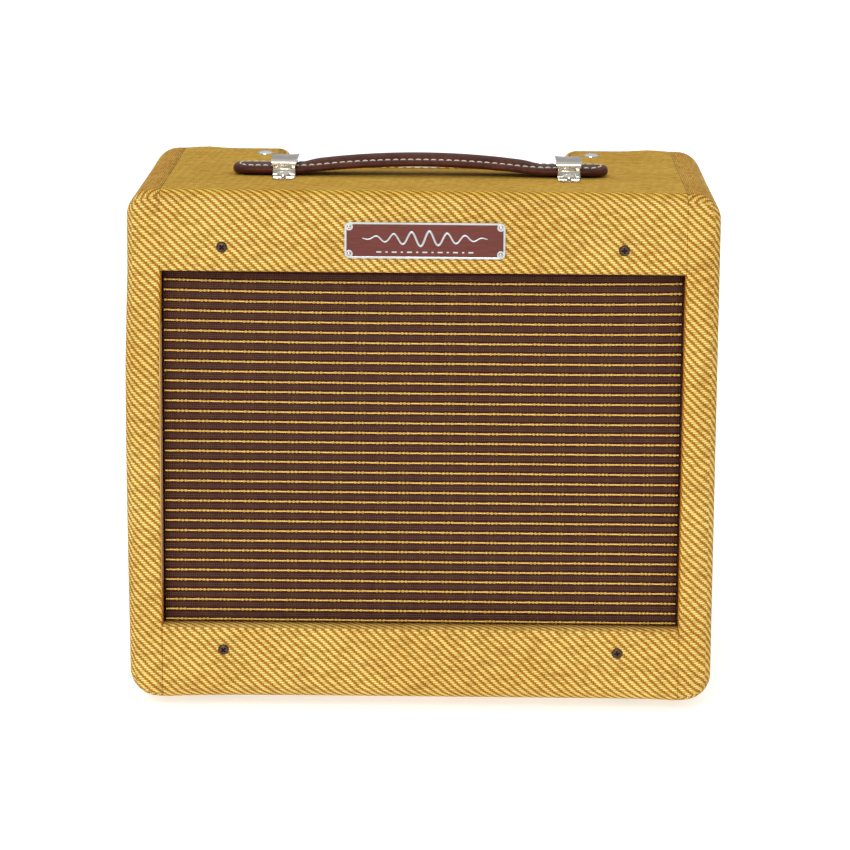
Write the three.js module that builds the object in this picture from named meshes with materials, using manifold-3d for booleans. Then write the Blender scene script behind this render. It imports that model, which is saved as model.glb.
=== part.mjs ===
// A small tweed-covered valve guitar amplifier, in millimetres, +Z up, its front facing -Y.
// The origin is on the ground, under the middle of the object.
import * as THREE from 'three';
import Module from 'manifold-3d';
import { mergeVertices } from 'three/addons/utils/BufferGeometryUtils.js';

const wasm = await Module();
wasm.setup();

// ---------- driving dimensions ----------
const width = 343;            // cabinet, side to side
const depth = 203;            // cabinet, front to back
const height = 301.5;         // cabinet without its feet
const footHeight = 7;
const board = 20.3;           // top and bottom boards with their covering
const sideBoard = 19.7;       // and the side boards
const panel = 12;             // front panels and baffle
const cloth = 0.9;            // thickness of the tweed
const gap = 0.3;              // clearance between neighbouring pieces
const cornerRadius = 15.6;    // the four corners seen from the front
const frontRound = 12;        // round-over of the front edges
const backRound = 6;
const upperBand = 46.4;       // height of the upper front panel above the opening
const lowerBand = 44.4;       // and of the lower one below it
const screwX = 115.7;         // front panel screws, left and right of centre
const speakerRadius = 101.5;  // 8 inch frame
const speakerRise = 106.9;    // speaker axis above the opening's lower edge
const chassisHalf = 120;
const chassisDrop = 51;       // height of the folded chassis
const handleReach = 111.4;    // half the length of the handle strap
const handleShift = -2.85;    // how far the strap has slid to the left
const loopX = [-83.3, 85.1];  // handle loops, left and right of centre

// ---------- levels and planes worked out from them ----------
const front = -100;                       // outer face of the front
const back = front + depth;
const base = footHeight;                  // underside of the cabinet
const top = footHeight + height;
const half = width / 2;
const inner = half - sideBoard;               // inner face of each side board
const openLow = base + lowerBand;
const openHigh = top - upperBand;
const middle = openLow + speakerRise;     // height of the speaker's axis
const floor = base + board;               // upper face of the bottom board
const ceiling = top - board;              // underside of the top board
const clothFace = front + panel + gap;    // front of the grille cloth
const baffleFace = clothFace + 1.2 + gap;
const baffleBack = baffleFace + 10.5;
const handleY = front + 82;               // centre line of the handle
const notchFront = front + 113.5;
const chassisFront = front + 113;
const chassisBack = back - 10.5;
const chassisTop = ceiling - gap;
const chassisBase = chassisTop - chassisDrop;
const sheet = 1.3;                        // chassis metal
const controlsY = chassisFront + 40;      // line of the controls
const valveY = chassisFront + 42;         // line of the valves

const amplifier = new THREE.Group();

// ---------- materials ----------
function material(color, roughness, metalness = 0) {
  return new THREE.MeshStandardMaterial({ color, roughness, metalness });
}
const tweed = material(0xd9aa55, 0.85);
const pine = material(0xd8b483, 0.7);
const grilleBrown = material(0x6a4436, 0.9);
const leather = material(0x4a2218, 0.5);
const nickel = material(0xc9c6bf, 0.25, 1);
const chrome = material(0xd5d7da, 0.12, 1);
const blackScrew = material(0x17161a, 0.4, 1);
const badgeMetal = material(0x8a4a40, 0.45, 0.4);
const rubber = material(0x1b1a19, 0.9);
const brownPlastic = material(0x3a2013, 0.4);
const blackPlastic = material(0x151413, 0.45);
const glass = material(0x9fa7a8, 0.1);
const ironCore = material(0x2a2b2e, 0.5, 0.8);
const greyPaper = material(0x4a4a4c, 0.9);
const fibre = material(0x6b5330, 0.8);
const jewelRed = material(0x9c1414, 0.15);

// ---------- from three.js geometry to solids and back ----------
function solid(geometry) {
  const plain = new THREE.BufferGeometry();
  plain.setAttribute('position', geometry.getAttribute('position'));
  plain.setIndex(geometry.index);
  const welded = mergeVertices(plain, 1e-4);
  const points = welded.getAttribute('position');
  const triangles = [];
  let volume = 0;
  const a = new THREE.Vector3();
  const b = new THREE.Vector3();
  const c = new THREE.Vector3();
  for (let i = 0; i < welded.index.count; i += 3) {
    const corner = [0, 1, 2].map((k) => welded.index.getX(i + k));
    if (new Set(corner).size < 3) continue;
    triangles.push(...corner);
    a.fromBufferAttribute(points, corner[0]);
    b.fromBufferAttribute(points, corner[1]);
    c.fromBufferAttribute(points, corner[2]);
    volume += a.dot(b.cross(c));
  }
  if (volume < 0) triangles.reverse();
  return new wasm.Manifold(new wasm.Mesh({
    numProp: 3,
    vertProperties: new Float32Array(points.array),
    triVerts: new Uint32Array(triangles),
  }));
}

function put(name, body, finish) {
  const mesh = body.getMesh();
  const geometry = new THREE.BufferGeometry();
  geometry.setAttribute('position', new THREE.BufferAttribute(mesh.vertProperties, 3));
  geometry.setIndex(new THREE.BufferAttribute(mesh.triVerts, 1));
  geometry.computeVertexNormals();
  const piece = new THREE.Mesh(geometry, finish);
  piece.name = name;
  amplifier.add(piece);
}

// ---------- basic solids ----------
function box(x0, x1, y0, y1, z0, z1) {
  const geometry = new THREE.BoxGeometry(x1 - x0, y1 - y0, z1 - z0);
  geometry.translate((x0 + x1) / 2, (y0 + y1) / 2, (z0 + z1) / 2);
  return solid(geometry);
}

// a rod along one axis, from one coordinate to another
function rod(axis, radius, from, to, at, sides = 20, radiusTo = radius) {
  const geometry = new THREE.CylinderGeometry(radiusTo, radius, to - from, sides);
  geometry.translate(0, (from + to) / 2, 0);
  if (axis === 'z') geometry.rotateX(Math.PI / 2).scale(1, -1, 1);
  if (axis === 'x') geometry.rotateZ(-Math.PI / 2);
  const shift = { x: [0, at[0], at[1]], y: [at[0], 0, at[1]], z: [at[0], at[1], 0] }[axis];
  geometry.translate(...shift);
  return solid(geometry);
}

// a profile of [radius, distance] turned about an upright axis (z) or a front-to-back axis (y)
function turned(profile, at, axis = 'z', sides = 24) {
  const points = profile.map(([r, h]) => new THREE.Vector2(r, h));
  if (profile[0][0] > 0) points.push(points[0].clone());
  const geometry = new THREE.LatheGeometry(points, sides);
  if (axis === 'z') geometry.rotateX(Math.PI / 2);
  geometry.translate(...at);
  return solid(geometry);
}

// a flat outline given in x and y, standing between two heights
function upright(shape, z0, z1, curveSegments = 6) {
  const geometry = new THREE.ExtrudeGeometry(shape, { depth: z1 - z0, bevelEnabled: false, curveSegments });
  geometry.translate(0, 0, z0);
  return solid(geometry);
}

// an outline given in x and z, running from y0 back to y1
function frontal(shape, y0, y1, curveSegments = 6) {
  const geometry = new THREE.ExtrudeGeometry(shape, { depth: y1 - y0, bevelEnabled: false, curveSegments });
  geometry.rotateX(Math.PI / 2);
  geometry.translate(0, y1, 0);
  return solid(geometry);
}

function roundedRectangle(x0, x1, z0, z1, r) {
  const shape = new THREE.Shape();
  shape.moveTo(x0 + r, z0);
  shape.lineTo(x1 - r, z0);
  shape.absarc(x1 - r, z0 + r, r, -Math.PI / 2, 0);
  shape.lineTo(x1, z1 - r);
  shape.absarc(x1 - r, z1 - r, r, 0, Math.PI / 2);
  shape.lineTo(x0 + r, z1);
  shape.absarc(x0 + r, z1 - r, r, Math.PI / 2, Math.PI);
  shape.lineTo(x0, z0 + r);
  shape.absarc(x0 + r, z0 + r, r, Math.PI, Math.PI * 1.5);
  return shape;
}

// ---------- cabinet ----------
// the whole block, its edges rounded, drawn in by an inset
function edgeRoundedBlock(inset, round, roundsFront) {
  const r = cornerRadius - inset;
  const outline = roundedRectangle(-half + inset, half - inset, base + inset, top - inset, r);
  const bevel = round - inset;
  const long = depth + 40;
  const geometry = new THREE.ExtrudeGeometry(outline, {
    depth: long,
    bevelThickness: bevel,
    bevelSize: bevel,
    bevelOffset: -bevel,
    bevelSegments: 3,
    curveSegments: 3,
  });
  geometry.rotateX(Math.PI / 2);
  const nearest = roundsFront ? front + inset : back - inset - long - 2 * bevel;
  geometry.translate(0, nearest + long + bevel, 0);
  return solid(geometry);
}

function cabinetBlock(inset) {
  return edgeRoundedBlock(inset, frontRound, true).intersect(edgeRoundedBlock(inset, backRound, false));
}

// the notch in the top board: round inner corners, and side edges that flare out to the back
function notchTool(grow) {
  const side = 86 + grow;
  const flare = 12;
  const flareStart = back - 27.5;
  const innerRound = 18;
  const outline = new THREE.Shape();
  const y = notchFront - grow;
  outline.moveTo(-side + innerRound, y);
  outline.lineTo(side - innerRound, y);
  outline.absarc(side - innerRound, y + innerRound, innerRound, -Math.PI / 2, 0);
  outline.lineTo(side, flareStart);
  outline.absellipse(side + flare, flareStart, flare, back - flareStart, Math.PI, Math.PI / 2, true);
  outline.lineTo(side + flare, back + 5);
  outline.lineTo(-side - flare, back + 5);
  outline.lineTo(-side - flare, back);
  outline.absellipse(-side - flare, flareStart, flare, back - flareStart, Math.PI / 2, 0, true);
  outline.lineTo(-side, y + innerRound);
  outline.absarc(-side + innerRound, y + innerRound, innerRound, Math.PI, Math.PI * 1.5);
  return upright(outline, ceiling - 2, top + 2, 4);
}

const core = cabinetBlock(cloth + gap);
const skin = cabinetBlock(0).subtract(cabinetBlock(cloth));
const between = inner - gap;
const reach = half + 5;
const screwLows = [base + 30.3, top - 32.1];
const chassisScrewX = [-100.3, 101.7];
const chassisScrewY = front + 172.3;

for (const [side, sign] of [['left', -1], ['right', 1]]) {
  const x = [inner * sign, reach * sign].sort((p, q) => p - q);
  put(`side_board_${side}`, core.intersect(box(x[0], x[1], front, back, base, top)), pine);
  put(`tweed_${side}`, skin.intersect(box(x[0], x[1], front, back, base, top)), tweed);
}

const loopScrews = loopX.flatMap((x) => [-1, 1].map((end) => [x, handleY + 22 * end]));
const topHoles = chassisScrewX.map((x) => rod('z', 2.6, ceiling - 5, top + 5, [x, chassisScrewY], 12));
for (const at of loopScrews) {
  topHoles.push(rod('z', 1.7, top - 15, top + 5, at, 10));
}
let topBoard = core.intersect(box(-between, between, front, back, ceiling, top));
topBoard = topBoard.subtract(notchTool(cloth + gap));
let topSkin = skin.intersect(box(-between, between, front, back, openHigh, top));
topSkin = topSkin.subtract(notchTool(0));
topSkin = topSkin.subtract(box(-reach, reach, front + 60, back + 5, base, ceiling));
for (const hole of topHoles) {
  topBoard = topBoard.subtract(hole);
  topSkin = topSkin.subtract(hole);
}

// front panels, bored for their screws
function screwHoles(radius, y0, y1) {
  return [-screwX, screwX].flatMap((x) => screwLows.map((z) => rod('y', radius, y0, y1, [x, z], 12)));
}
const panelEdges = [openLow - cloth - gap, openHigh + cloth + gap];
let upperPanel = core.intersect(box(-between, between, front, front + panel, panelEdges[1], ceiling - gap));
let lowerPanel = core.intersect(box(-between, between, front, front + panel, floor + gap, panelEdges[0]));
let bottomSkin = skin.intersect(box(-between, between, front, back, base, openLow));
bottomSkin = bottomSkin.subtract(box(-reach, reach, front + 60, back + 5, floor, top));
const panelHoles = screwHoles(2.6, front - 5, front + panel + 5);
for (const hole of panelHoles) {
  upperPanel = upperPanel.subtract(hole);
  lowerPanel = lowerPanel.subtract(hole);
  topSkin = topSkin.subtract(hole);
  bottomSkin = bottomSkin.subtract(hole);
}

const footSpots = [-1, 1].flatMap((sx) => [-1, 1].map((sy) => [sx * 122, 1.5 + sy * 58]));
let bottomBoard = core.intersect(box(-between, between, front, back, base, floor));
for (const at of footSpots) {
  const hole = rod('z', 2.4, base - 5, base + 14, at, 10);
  bottomBoard = bottomBoard.subtract(hole);
  bottomSkin = bottomSkin.subtract(hole);
}

put('top_board', topBoard, pine);
put('bottom_board', bottomBoard, pine);
put('upper_front_panel', upperPanel, pine);
put('lower_front_panel', lowerPanel, pine);
put('tweed_upper', topSkin, tweed);
put('tweed_lower', bottomSkin, tweed);

// ---------- baffle, grille cloth and the four screws that hold them ----------
let baffle = box(-between + 0.4, between - 0.4, baffleFace, baffleBack, floor + gap, ceiling - gap);
let grille = box(-between + 0.4, between - 0.4, clothFace, clothFace + 1.2, floor + gap, ceiling - gap);
baffle = baffle.subtract(rod('y', 90, baffleFace - 5, baffleBack + 5, [0, middle], 32));
for (const hole of screwHoles(2.6, front, baffleBack + 5)) {
  baffle = baffle.subtract(hole);
  grille = grille.subtract(hole);
}
put('baffle_board', baffle, pine);
put('grille_cloth', grille, grilleBrown);

screwLows.forEach((z, row) => {
  for (const [side, sign] of [['left', -1], ['right', 1]]) {
    const head = [[0, -2.1], [1.5, -1.9], [3.25, -0.9], [3.25, -gap], [2.1, -gap], [2.1, 26], [0, 26]];
    const slot = box(-0.5, 0.5, -4, -1.4, -2, 2).add(box(-2, 2, -4, -1.4, -0.5, 0.5));
    const turn = sign < 0 ? 45 : 4;
    const spot = [screwX * sign, front, z];
    const body = turned(head, spot, 'y', 12).subtract(slot.rotate([0, turn, 0]).translate(spot));
    put(`front_screw_${row ? 'upper' : 'lower'}_${side}`, body, blackScrew);
  }
});

// ---------- badge: a plate with rounded corners and four domed pins ----------
const badge = {
  x: 1.1,
  z: base + 274.4,
  halfWidth: 46.15,
  halfHeight: 10.4,
  thick: 1.6,
  pinX: 43.6,
  pinZ: 7.85,
};
const badgeOutline = roundedRectangle(badge.x - badge.halfWidth, badge.x + badge.halfWidth,
  badge.z - badge.halfHeight, badge.z + badge.halfHeight, 3);
let badgeBody = frontal(badgeOutline, front - gap - badge.thick, front - gap, 4);
for (const sx of [-1, 1]) {
  for (const sz of [-1, 1]) {
    const pin = [[0, 0.1], [1.3, 0.1], [1.3, -1.9], [0.9, -2.5], [0, -2.7]];
    const at = [badge.x + sx * badge.pinX, front - gap, badge.z + sz * badge.pinZ];
    badgeBody = badgeBody.add(turned(pin, at, 'y', 8));
  }
}
badgeBody = badgeBody.subtract(box(-60, 60, front - gap, front + 5, badge.z - 20, badge.z + 20));
put('badge_plate', badgeBody, badgeMetal);

// ---------- handle: an arched strap that slides in two loops ----------
const arch = {
  low: 1,
  rise: 4.8,
  reach: 72,
  thickEnd: 5.3,
  pad: 1.8,
  padStart: 74,
  padRun: 14,
  crown: 0.8,
  halfWidth: 13,
};
function strapHeights(x) {
  const t = Math.max(0, 1 - (x / arch.reach) ** 2);
  const k = Math.min(1, Math.max(0, (arch.padStart - Math.abs(x)) / arch.padRun));
  const low = top + arch.low + arch.rise * t;
  return [low, low + arch.thickEnd + arch.pad * k * k * (3 - 2 * k) + arch.crown * t];
}
const strapSteps = [-handleReach, -80, -74, -70, -65, -58, -46, -32, -16];
const strapXs = [...strapSteps, 0, ...strapSteps.map((x) => -x).reverse()];
const strapSide = new THREE.Shape([
  ...strapXs.map((x) => new THREE.Vector2(x, strapHeights(x)[0])),
  ...strapXs.reverse().map((x) => new THREE.Vector2(x, strapHeights(x)[1])),
]);
const strapPlan = roundedRectangle(-handleReach, handleReach, -arch.halfWidth, arch.halfWidth, 10);
let strap = frontal(strapSide, -arch.halfWidth, arch.halfWidth);
strap = strap.intersect(upright(strapPlan, top, top + 30, 4));
put('handle_strap', strap.translate([handleShift, handleY, 0]), leather);

// one loop: two feet, two walls and a top plate with a rivet in it
function handleLoop(x) {
  const metal = 1.2;
  const wall = 14.9;
  const foot = 30;
  const rise = 9.4;
  const side = new THREE.Shape();
  const inWall = -wall + metal;
  const outer = [[-foot, 0], [-foot, metal], [-wall, metal], [-wall, rise - 2], [-wall + 2, rise]];
  const inside = [[inWall, 0], [inWall, rise - metal - 1.2], [inWall + 1.2, rise - metal]];
  const mirrored = (points) => points.map(([y, z]) => [-y, z]).reverse();
  const path = [...outer, ...mirrored(outer), ...mirrored(inside).reverse(), ...[...inside].reverse()];
  path.forEach(([y, z], i) => (i ? side.lineTo(y, z) : side.moveTo(y, z)));
  const geometry = new THREE.ExtrudeGeometry(side, { depth: 14.5, bevelEnabled: false });
  geometry.rotateX(Math.PI / 2);
  geometry.rotateZ(Math.PI / 2);
  geometry.translate(x - 7.25, handleY, top + gap);
  let body = solid(geometry);
  const rivet = [[0, -0.5], [1.9, -0.5], [1.9, 0.2], [1.2, 1], [0, 1.3]];
  body = body.add(turned(rivet, [x, handleY, top + gap + rise], 'z', 10));
  for (const end of [-1, 1]) {
    body = body.subtract(rod('z', 2, top - 2, top + 4, [x, handleY + 22 * end], 12));
  }
  return body;
}
put('handle_loop_left', handleLoop(loopX[0]), nickel);
put('handle_loop_right', handleLoop(loopX[1]), nickel);
const loopHead = [[0, -12], [1.4, -12], [1.4, 1.8], [3.9, 1.8], [3.6, 2.9], [2, 4], [0, 4.3]];
loopScrews.forEach(([x, y]) => {
  const name = `loop_screw_${x < 0 ? 'left' : 'right'}_${y < handleY ? 'front' : 'rear'}`;
  put(name, turned(loopHead, [x, y, top], 'z', 12), nickel);
});

// ---------- chassis: folded metal, open at the back, its top face is the control panel ----------
const controls = { fuse: 64, lamp: 34, volume: 0, jacks: [-32, -60] };
const valves = { rectifier_valve: 30, output_valve: -22, preamp_valve: -64 };
const chassisInner = chassisHalf - sheet;
let chassis = box(-chassisHalf, chassisHalf, chassisFront, chassisBack, chassisBase, chassisTop);
chassis = chassis.subtract(box(-chassisInner, chassisInner, chassisFront + sheet, chassisBack + 5,
  chassisBase + sheet, chassisTop - sheet));
const panelCuts = [
  [controls.fuse, 7.9],
  [controls.lamp, 7.4],
  [controls.volume, 4.9],
  [controls.jacks[0], 4.9],
  [controls.jacks[1], 4.9],
];
for (const [x, r] of panelCuts) {
  chassis = chassis.subtract(rod('z', r, chassisTop - 4, chassisTop + 4, [x, controlsY], 16));
}
for (const x of chassisScrewX) {
  chassis = chassis.subtract(rod('z', 2.6, chassisTop - 4, chassisTop + 4, [x, chassisScrewY], 12));
}
for (const x of Object.values(valves)) {
  chassis = chassis.subtract(rod('z', 11, chassisBase - 4, chassisBase + 4, [x, valveY], 16));
}
// the hole for the mains cable's grommet, at the end away from the input jacks
chassis = chassis.subtract(rod('y', 5, chassisFront - 4, chassisFront + 4, [108, chassisBase + 14], 12));
put('chassis', chassis, chrome);

const dome = [[0, -34], [2, -34], [2, 0.3], [5, 0.3], [4.7, 1.1], [3.2, 2], [0, 2.5]];
chassisScrewX.forEach((x) => {
  const body = turned(dome, [x, chassisScrewY, top], 'z', 14);
  put(`chassis_screw_${x < 0 ? 'left' : 'right'}`, body, chrome);
});

// volume control: potentiometer, shaft and pointer knob
const pot = [[3.3, -20], [12, -20], [12, -9], [4.6, -9], [4.6, gap], [6.2, gap], [6.2, 2.6], [3.3, 2.6]];
const volumeSpot = [controls.volume, controlsY];
put('volume_potentiometer', turned(pot, [...volumeSpot, chassisTop], 'z', 16), nickel);
put('volume_shaft', rod('z', 3, chassisTop - 17, chassisTop + 12, volumeSpot, 12), nickel);
const skirt = turned([[0, 3.2], [7.6, 3.2], [7.6, 8], [0, 8]], [0, 0, 0], 'z', 20);
const pointer = new THREE.Shape();
pointer.moveTo(0, 15);
pointer.lineTo(-2.2, 12);
pointer.bezierCurveTo(-2.6, 4, -8, 3, -7.6, -3);
pointer.absarc(0, 0, 8.2, Math.PI * 1.12, Math.PI * 1.88);
pointer.bezierCurveTo(8, 3, 2.6, 4, 2.2, 12);
const knobBore = rod('z', 3.3, 0, 12.6, [0, 0], 16);
const knob = skirt.add(upright(pointer, 3.2, 14, 4)).subtract(knobBore);
put('volume_knob', knob.rotate([0, 0, 180]).translate([...volumeSpot, chassisTop]), brownPlastic);

// input jacks: a tube with a nut, and the contact frame under the panel
controls.jacks.forEach((x, i) => {
  const below = [[0, -22], [8.5, -22], [8.5, -1.6], [4.6, -1.6], [4.6, gap]];
  const jack = [...below, [6.6, gap], [6.6, 2.6], [4.6, 2.6], [4.6, 4], [3.4, 4], [3.4, -20], [0, -20]];
  put(`input_jack_${i + 1}`, turned(jack, [x, controlsY, chassisTop], 'z', 14), nickel);
});

// pilot lamp holder with its jewel, fuse holder with its cap
const lampSpot = [controls.lamp, controlsY, chassisTop];
const lampHolder = [
  [0, -26], [7.1, -26], [7.1, gap], [8.6, gap],
  [8.6, 3.4], [5.6, 3.4], [5.6, -4], [0, -4],
];
put('pilot_lamp_holder', turned(lampHolder, lampSpot, 'z', 18), chrome);
const jewel = [[0, -2], [5.2, -2], [5.2, 3.8], [6.8, 3.8], [6.6, 6.2], [4.2, 8.6], [0, 9.8]];
put('pilot_jewel', turned(jewel, lampSpot, 'z', 12), jewelRed);
const fuseSpot = [controls.fuse, controlsY, chassisTop];
const fuseBody = [
  [0, -28], [7.6, -28], [7.6, gap], [9.4, gap],
  [9.4, 2.6], [4.2, 2.6], [4.2, -20], [0, -20],
];
put('fuse_holder', turned(fuseBody, fuseSpot, 'z', 18), blackPlastic);
const fuseCap = [[0, -16], [3.6, -16], [3.6, 3], [7.4, 3], [7.4, 10.6], [6.4, 11.8], [0, 11.8]];
let capBody = turned(fuseCap, [0, 0, 0], 'z', 18);
capBody = capBody.subtract(box(-0.6, 0.6, -6, 6, 10.9, 14));
put('fuse_cap', capBody.translate(fuseSpot), blackPlastic);

// ---------- transformers under the chassis ----------
// a laminated core lying flat, with a rounded bell at each side
function transformer(x, y, wide, deep, high) {
  const topZ = chassisBase - gap;
  const core = box(x - wide / 2, x + wide / 2, y - deep * 0.22, y + deep * 0.22, topZ - high, topZ);
  const bell = wide * 0.36;
  const outline = roundedRectangle(x - bell, x + bell, topZ - high * 0.9, topZ - high * 0.1, 6);
  return core.add(frontal(outline, y - deep / 2, y + deep / 2, 3));
}
put('power_transformer', transformer(84, valveY - 2, 58, 60, 68), ironCore);
put('output_transformer', transformer(-97, valveY - 12, 38, 42, 40), ironCore);

// ---------- circuit board with its resistors and capacitors; filter capacitor ----------
const boardZ = chassisBase + 14;
let circuit = box(-76, 48, chassisFront + 8, chassisFront + 60, boardZ, boardZ + 1.6);
for (let i = 0; i < 8; i += 1) {
  const x = -68 + i * 15.2;
  const r = i % 3 === 1 ? 3.6 : 2.1;
  const body = rod('y', r, chassisFront + 20, chassisFront + 44, [x, boardZ + 1.4 + r * 0.8], 8);
  circuit = circuit.add(body);
}
put('circuit_board', circuit, fibre);
const filter = rod('y', 10, chassisFront + 8, chassisFront + 62, [92, chassisBase + 24], 16);
put('filter_capacitor', filter, material(0xb9b2a2, 0.6));

// ---------- valves hanging in their sockets ----------
// outline of base and envelope as [radius, height], from the socket down
const valveShapes = {
  rectifier_valve: [
    [16.5, -4.3], [16.5, -17], [15.2, -19], [15.6, -24],
    [15.6, -76], [13, -83], [6, -87], [0, -88],
  ],
  output_valve: [
    [16, -4.3], [16, -16], [14, -18], [14.6, -22],
    [14.6, -72], [11, -79], [4, -82], [0, -82.5],
  ],
  preamp_valve: [
    [10.6, -4.3], [10.9, -7], [10.9, -45],
    [8, -50], [2.5, -52], [1.4, -56], [0, -56.6],
  ],
};
function valveParts(name, x) {
  const small = name === 'preamp_valve';
  const z = chassisBase;
  const socketR = small ? 13 : 19;
  const keyR = small ? 2.2 : 3.5;   // the valve's centre key
  const plate = [[0, 9], [10.6, 9], [10.6, -gap], [socketR, -gap], [socketR, -4]];
  const socket = [...plate, [keyR + 0.4, -4], [keyR + 0.4, 7.4], [0, 7.4]];
  const plastic = small ? blackPlastic : brownPlastic;
  put(name.replace('valve', 'socket'), turned(socket, [x, valveY, z], 'z', 16), plastic);
  const key = [[0, 6.6], [keyR, 6.6], [keyR, -4.3]];
  const shape = [...key, ...valveShapes[name]];
  put(name, turned(shape, [x, valveY, z], 'z', 16), glass);
}
for (const [name, x] of Object.entries(valves)) {
  valveParts(name, x);
}

// ---------- speaker ----------
const rim = baffleBack + gap + 2.6 + gap;  // front face of the basket's flange
const axis = [0, rim, middle];
const gasket = [[91.5, -2.6 - gap], [speakerRadius, -2.6 - gap], [speakerRadius, -gap], [91.5, -gap]];
put('speaker_gasket', turned(gasket, axis, 'y', 24), greyPaper);
const basketProfile = [
  [92.3, 0], [speakerRadius, 0], [speakerRadius, 1.6], [94, 1.6],
  [88, 9], [50, 45], [50, 54], [18, 54],
  [18, 52.4], [48.4, 52.4], [48.4, 44.2], [86.6, 7.9],
];
let basket = turned(basketProfile, axis, 'y', 24);
for (let i = 0; i < 4; i += 1) {
  const window = new THREE.Shape();
  const a0 = Math.PI / 4 + (i * Math.PI) / 2 - 0.5;
  window.absarc(0, 0, 82, a0, a0 + 1, false);
  window.absarc(0, 0, 55, a0 + 1, a0, true);
  basket = basket.subtract(frontal(window, rim + 4, rim + 50, 2).translate([0, 0, middle]));
}
put('speaker_basket', basket, greyPaper);
const coneProfile = [
  [0, 24], [10, 26], [19, 31.8], [82, 1.2], [87.4, 1],
  [87.4, 2.2], [82, 2.4], [20, 33.8], [14.3, 37], [14.3, 60],
  [13.5, 60], [13.5, 29.8], [10, 27.2], [0, 25.2],
];
put('speaker_cone', turned(coneProfile, axis, 'y', 24), greyPaper);
const spider = [
  [14.7, 45], [24, 43.8], [33, 45.6], [42, 44.4],
  [42, 45.3], [33, 46.5], [24, 44.7], [14.7, 45.9],
];
put('speaker_spider', turned(spider, axis, 'y', 16), fibre);
const voiceGap = [[12.5, 50], [12.5, 72], [15.3, 72], [15.3, 54.3]];
const magnet = [[0, 50], ...voiceGap, [34, 54.3], [36, 56], [36, 78], [34, 80], [0, 80]];
put('speaker_magnet', turned(magnet, axis, 'y', 20), nickel);

// the speaker lead, from the output transformer down to the basket
const leadRoute = [
  [-97, 61, 196], [-97, 60, 188], [-96, 52, 180],
  [-90, 38, 172], [-82, 20, 166], [-74, 4, 163],
  [-66, -12, 161], [-60, -22, 159], [-56.5, -27.5, 158.4],
].map((p) => new THREE.Vector3(...p));
const leadSection = new THREE.Shape().absarc(0, 0, 1.7, 0, Math.PI * 2);
const leadCurve = new THREE.CatmullRomCurve3(leadRoute);
const leadTube = new THREE.ExtrudeGeometry(leadSection, {
  steps: 18,
  extrudePath: leadCurve,
  curveSegments: 4,
});
put('speaker_lead', solid(leadTube), rubber);

// ---------- rear battens and the two back panels ----------
for (const [side, sign] of [['left', -1], ['right', 1]]) {
  const x = [between * sign, (between - 12) * sign].sort((p, q) => p - q);
  put(`rear_batten_${side}`, box(x[0], x[1], back - 22, back - 10.4, floor + gap, ceiling - gap), pine);
}
const backY = [back - 10.1, back - 1.6];
put('upper_back_panel', box(-between + 0.3, between - 0.3, backY[0], backY[1], 225, ceiling - gap), tweed);
put('lower_back_panel', box(-between + 0.3, between - 0.3, backY[0], backY[1], floor + gap, 122), tweed);

// ---------- feet ----------
footSpots.forEach(([x, y]) => {
  const pad = [[0, 0], [8, 0], [9.2, 1.2], [9.6, base - gap]];
  const foot = [...pad, [2.1, base - gap], [2.1, base + 12], [0, base + 12]];
  const name = `foot_${y < 0 ? 'front' : 'rear'}_${x < 0 ? 'left' : 'right'}`;
  put(name, turned(foot, [x, y, 0], 'z', 16), rubber);
});

export default amplifier;
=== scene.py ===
# Looks for the tweed combo amplifier: covers, grille, handle, metalwork and what shows through the back.
# Sizes are millimetres; the meshes are made in metres.
import bpy
import bmesh
import math
import random
from mathutils import Matrix, Vector


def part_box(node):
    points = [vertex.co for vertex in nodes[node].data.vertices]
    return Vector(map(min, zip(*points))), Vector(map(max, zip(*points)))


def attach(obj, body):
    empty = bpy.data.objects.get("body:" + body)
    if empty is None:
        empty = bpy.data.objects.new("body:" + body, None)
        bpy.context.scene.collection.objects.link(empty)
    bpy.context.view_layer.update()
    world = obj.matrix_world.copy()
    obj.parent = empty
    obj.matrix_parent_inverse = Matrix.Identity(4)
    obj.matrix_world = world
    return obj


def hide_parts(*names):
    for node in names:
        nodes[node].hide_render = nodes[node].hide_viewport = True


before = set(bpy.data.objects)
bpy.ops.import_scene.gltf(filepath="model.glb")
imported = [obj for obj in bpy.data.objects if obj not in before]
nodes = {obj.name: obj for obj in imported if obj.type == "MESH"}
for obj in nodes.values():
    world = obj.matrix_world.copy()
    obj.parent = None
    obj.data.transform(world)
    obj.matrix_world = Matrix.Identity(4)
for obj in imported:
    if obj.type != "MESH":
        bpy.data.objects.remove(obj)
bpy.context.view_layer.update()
mm = 0.001
quarter = math.pi / 2
ends = (-1, 1)
corners = [(a, b) for a in ends for b in ends]
dice = random.Random(57)
print("frame loaded:", len(nodes), "nodes")


def lowHigh(name):
    low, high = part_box(name)
    return low / mm, high / mm


def boxOf(name):
    # low corner, high corner and middle of a CAD node
    low, high = lowHigh(name)
    return low, high, (low + high) / 2


# the cabinet's faces, read off the frame
front, back = [p.y for p in lowHigh("tweed_upper")]
base, openLow = [p.z for p in lowHigh("tweed_lower")]
openHigh, top = [p.z for p in lowHigh("tweed_upper")]
seam, half = [p.x for p in lowHigh("tweed_right")]
ceiling = lowHigh("top_board")[0].z
cabinet = {"corner": 15.6, "frontRound": 12, "backRound": 6, "cloth": 0.9}
corner, rf, rb = cabinet["corner"], cabinet["frontRound"], cabinet["backRound"]

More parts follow.
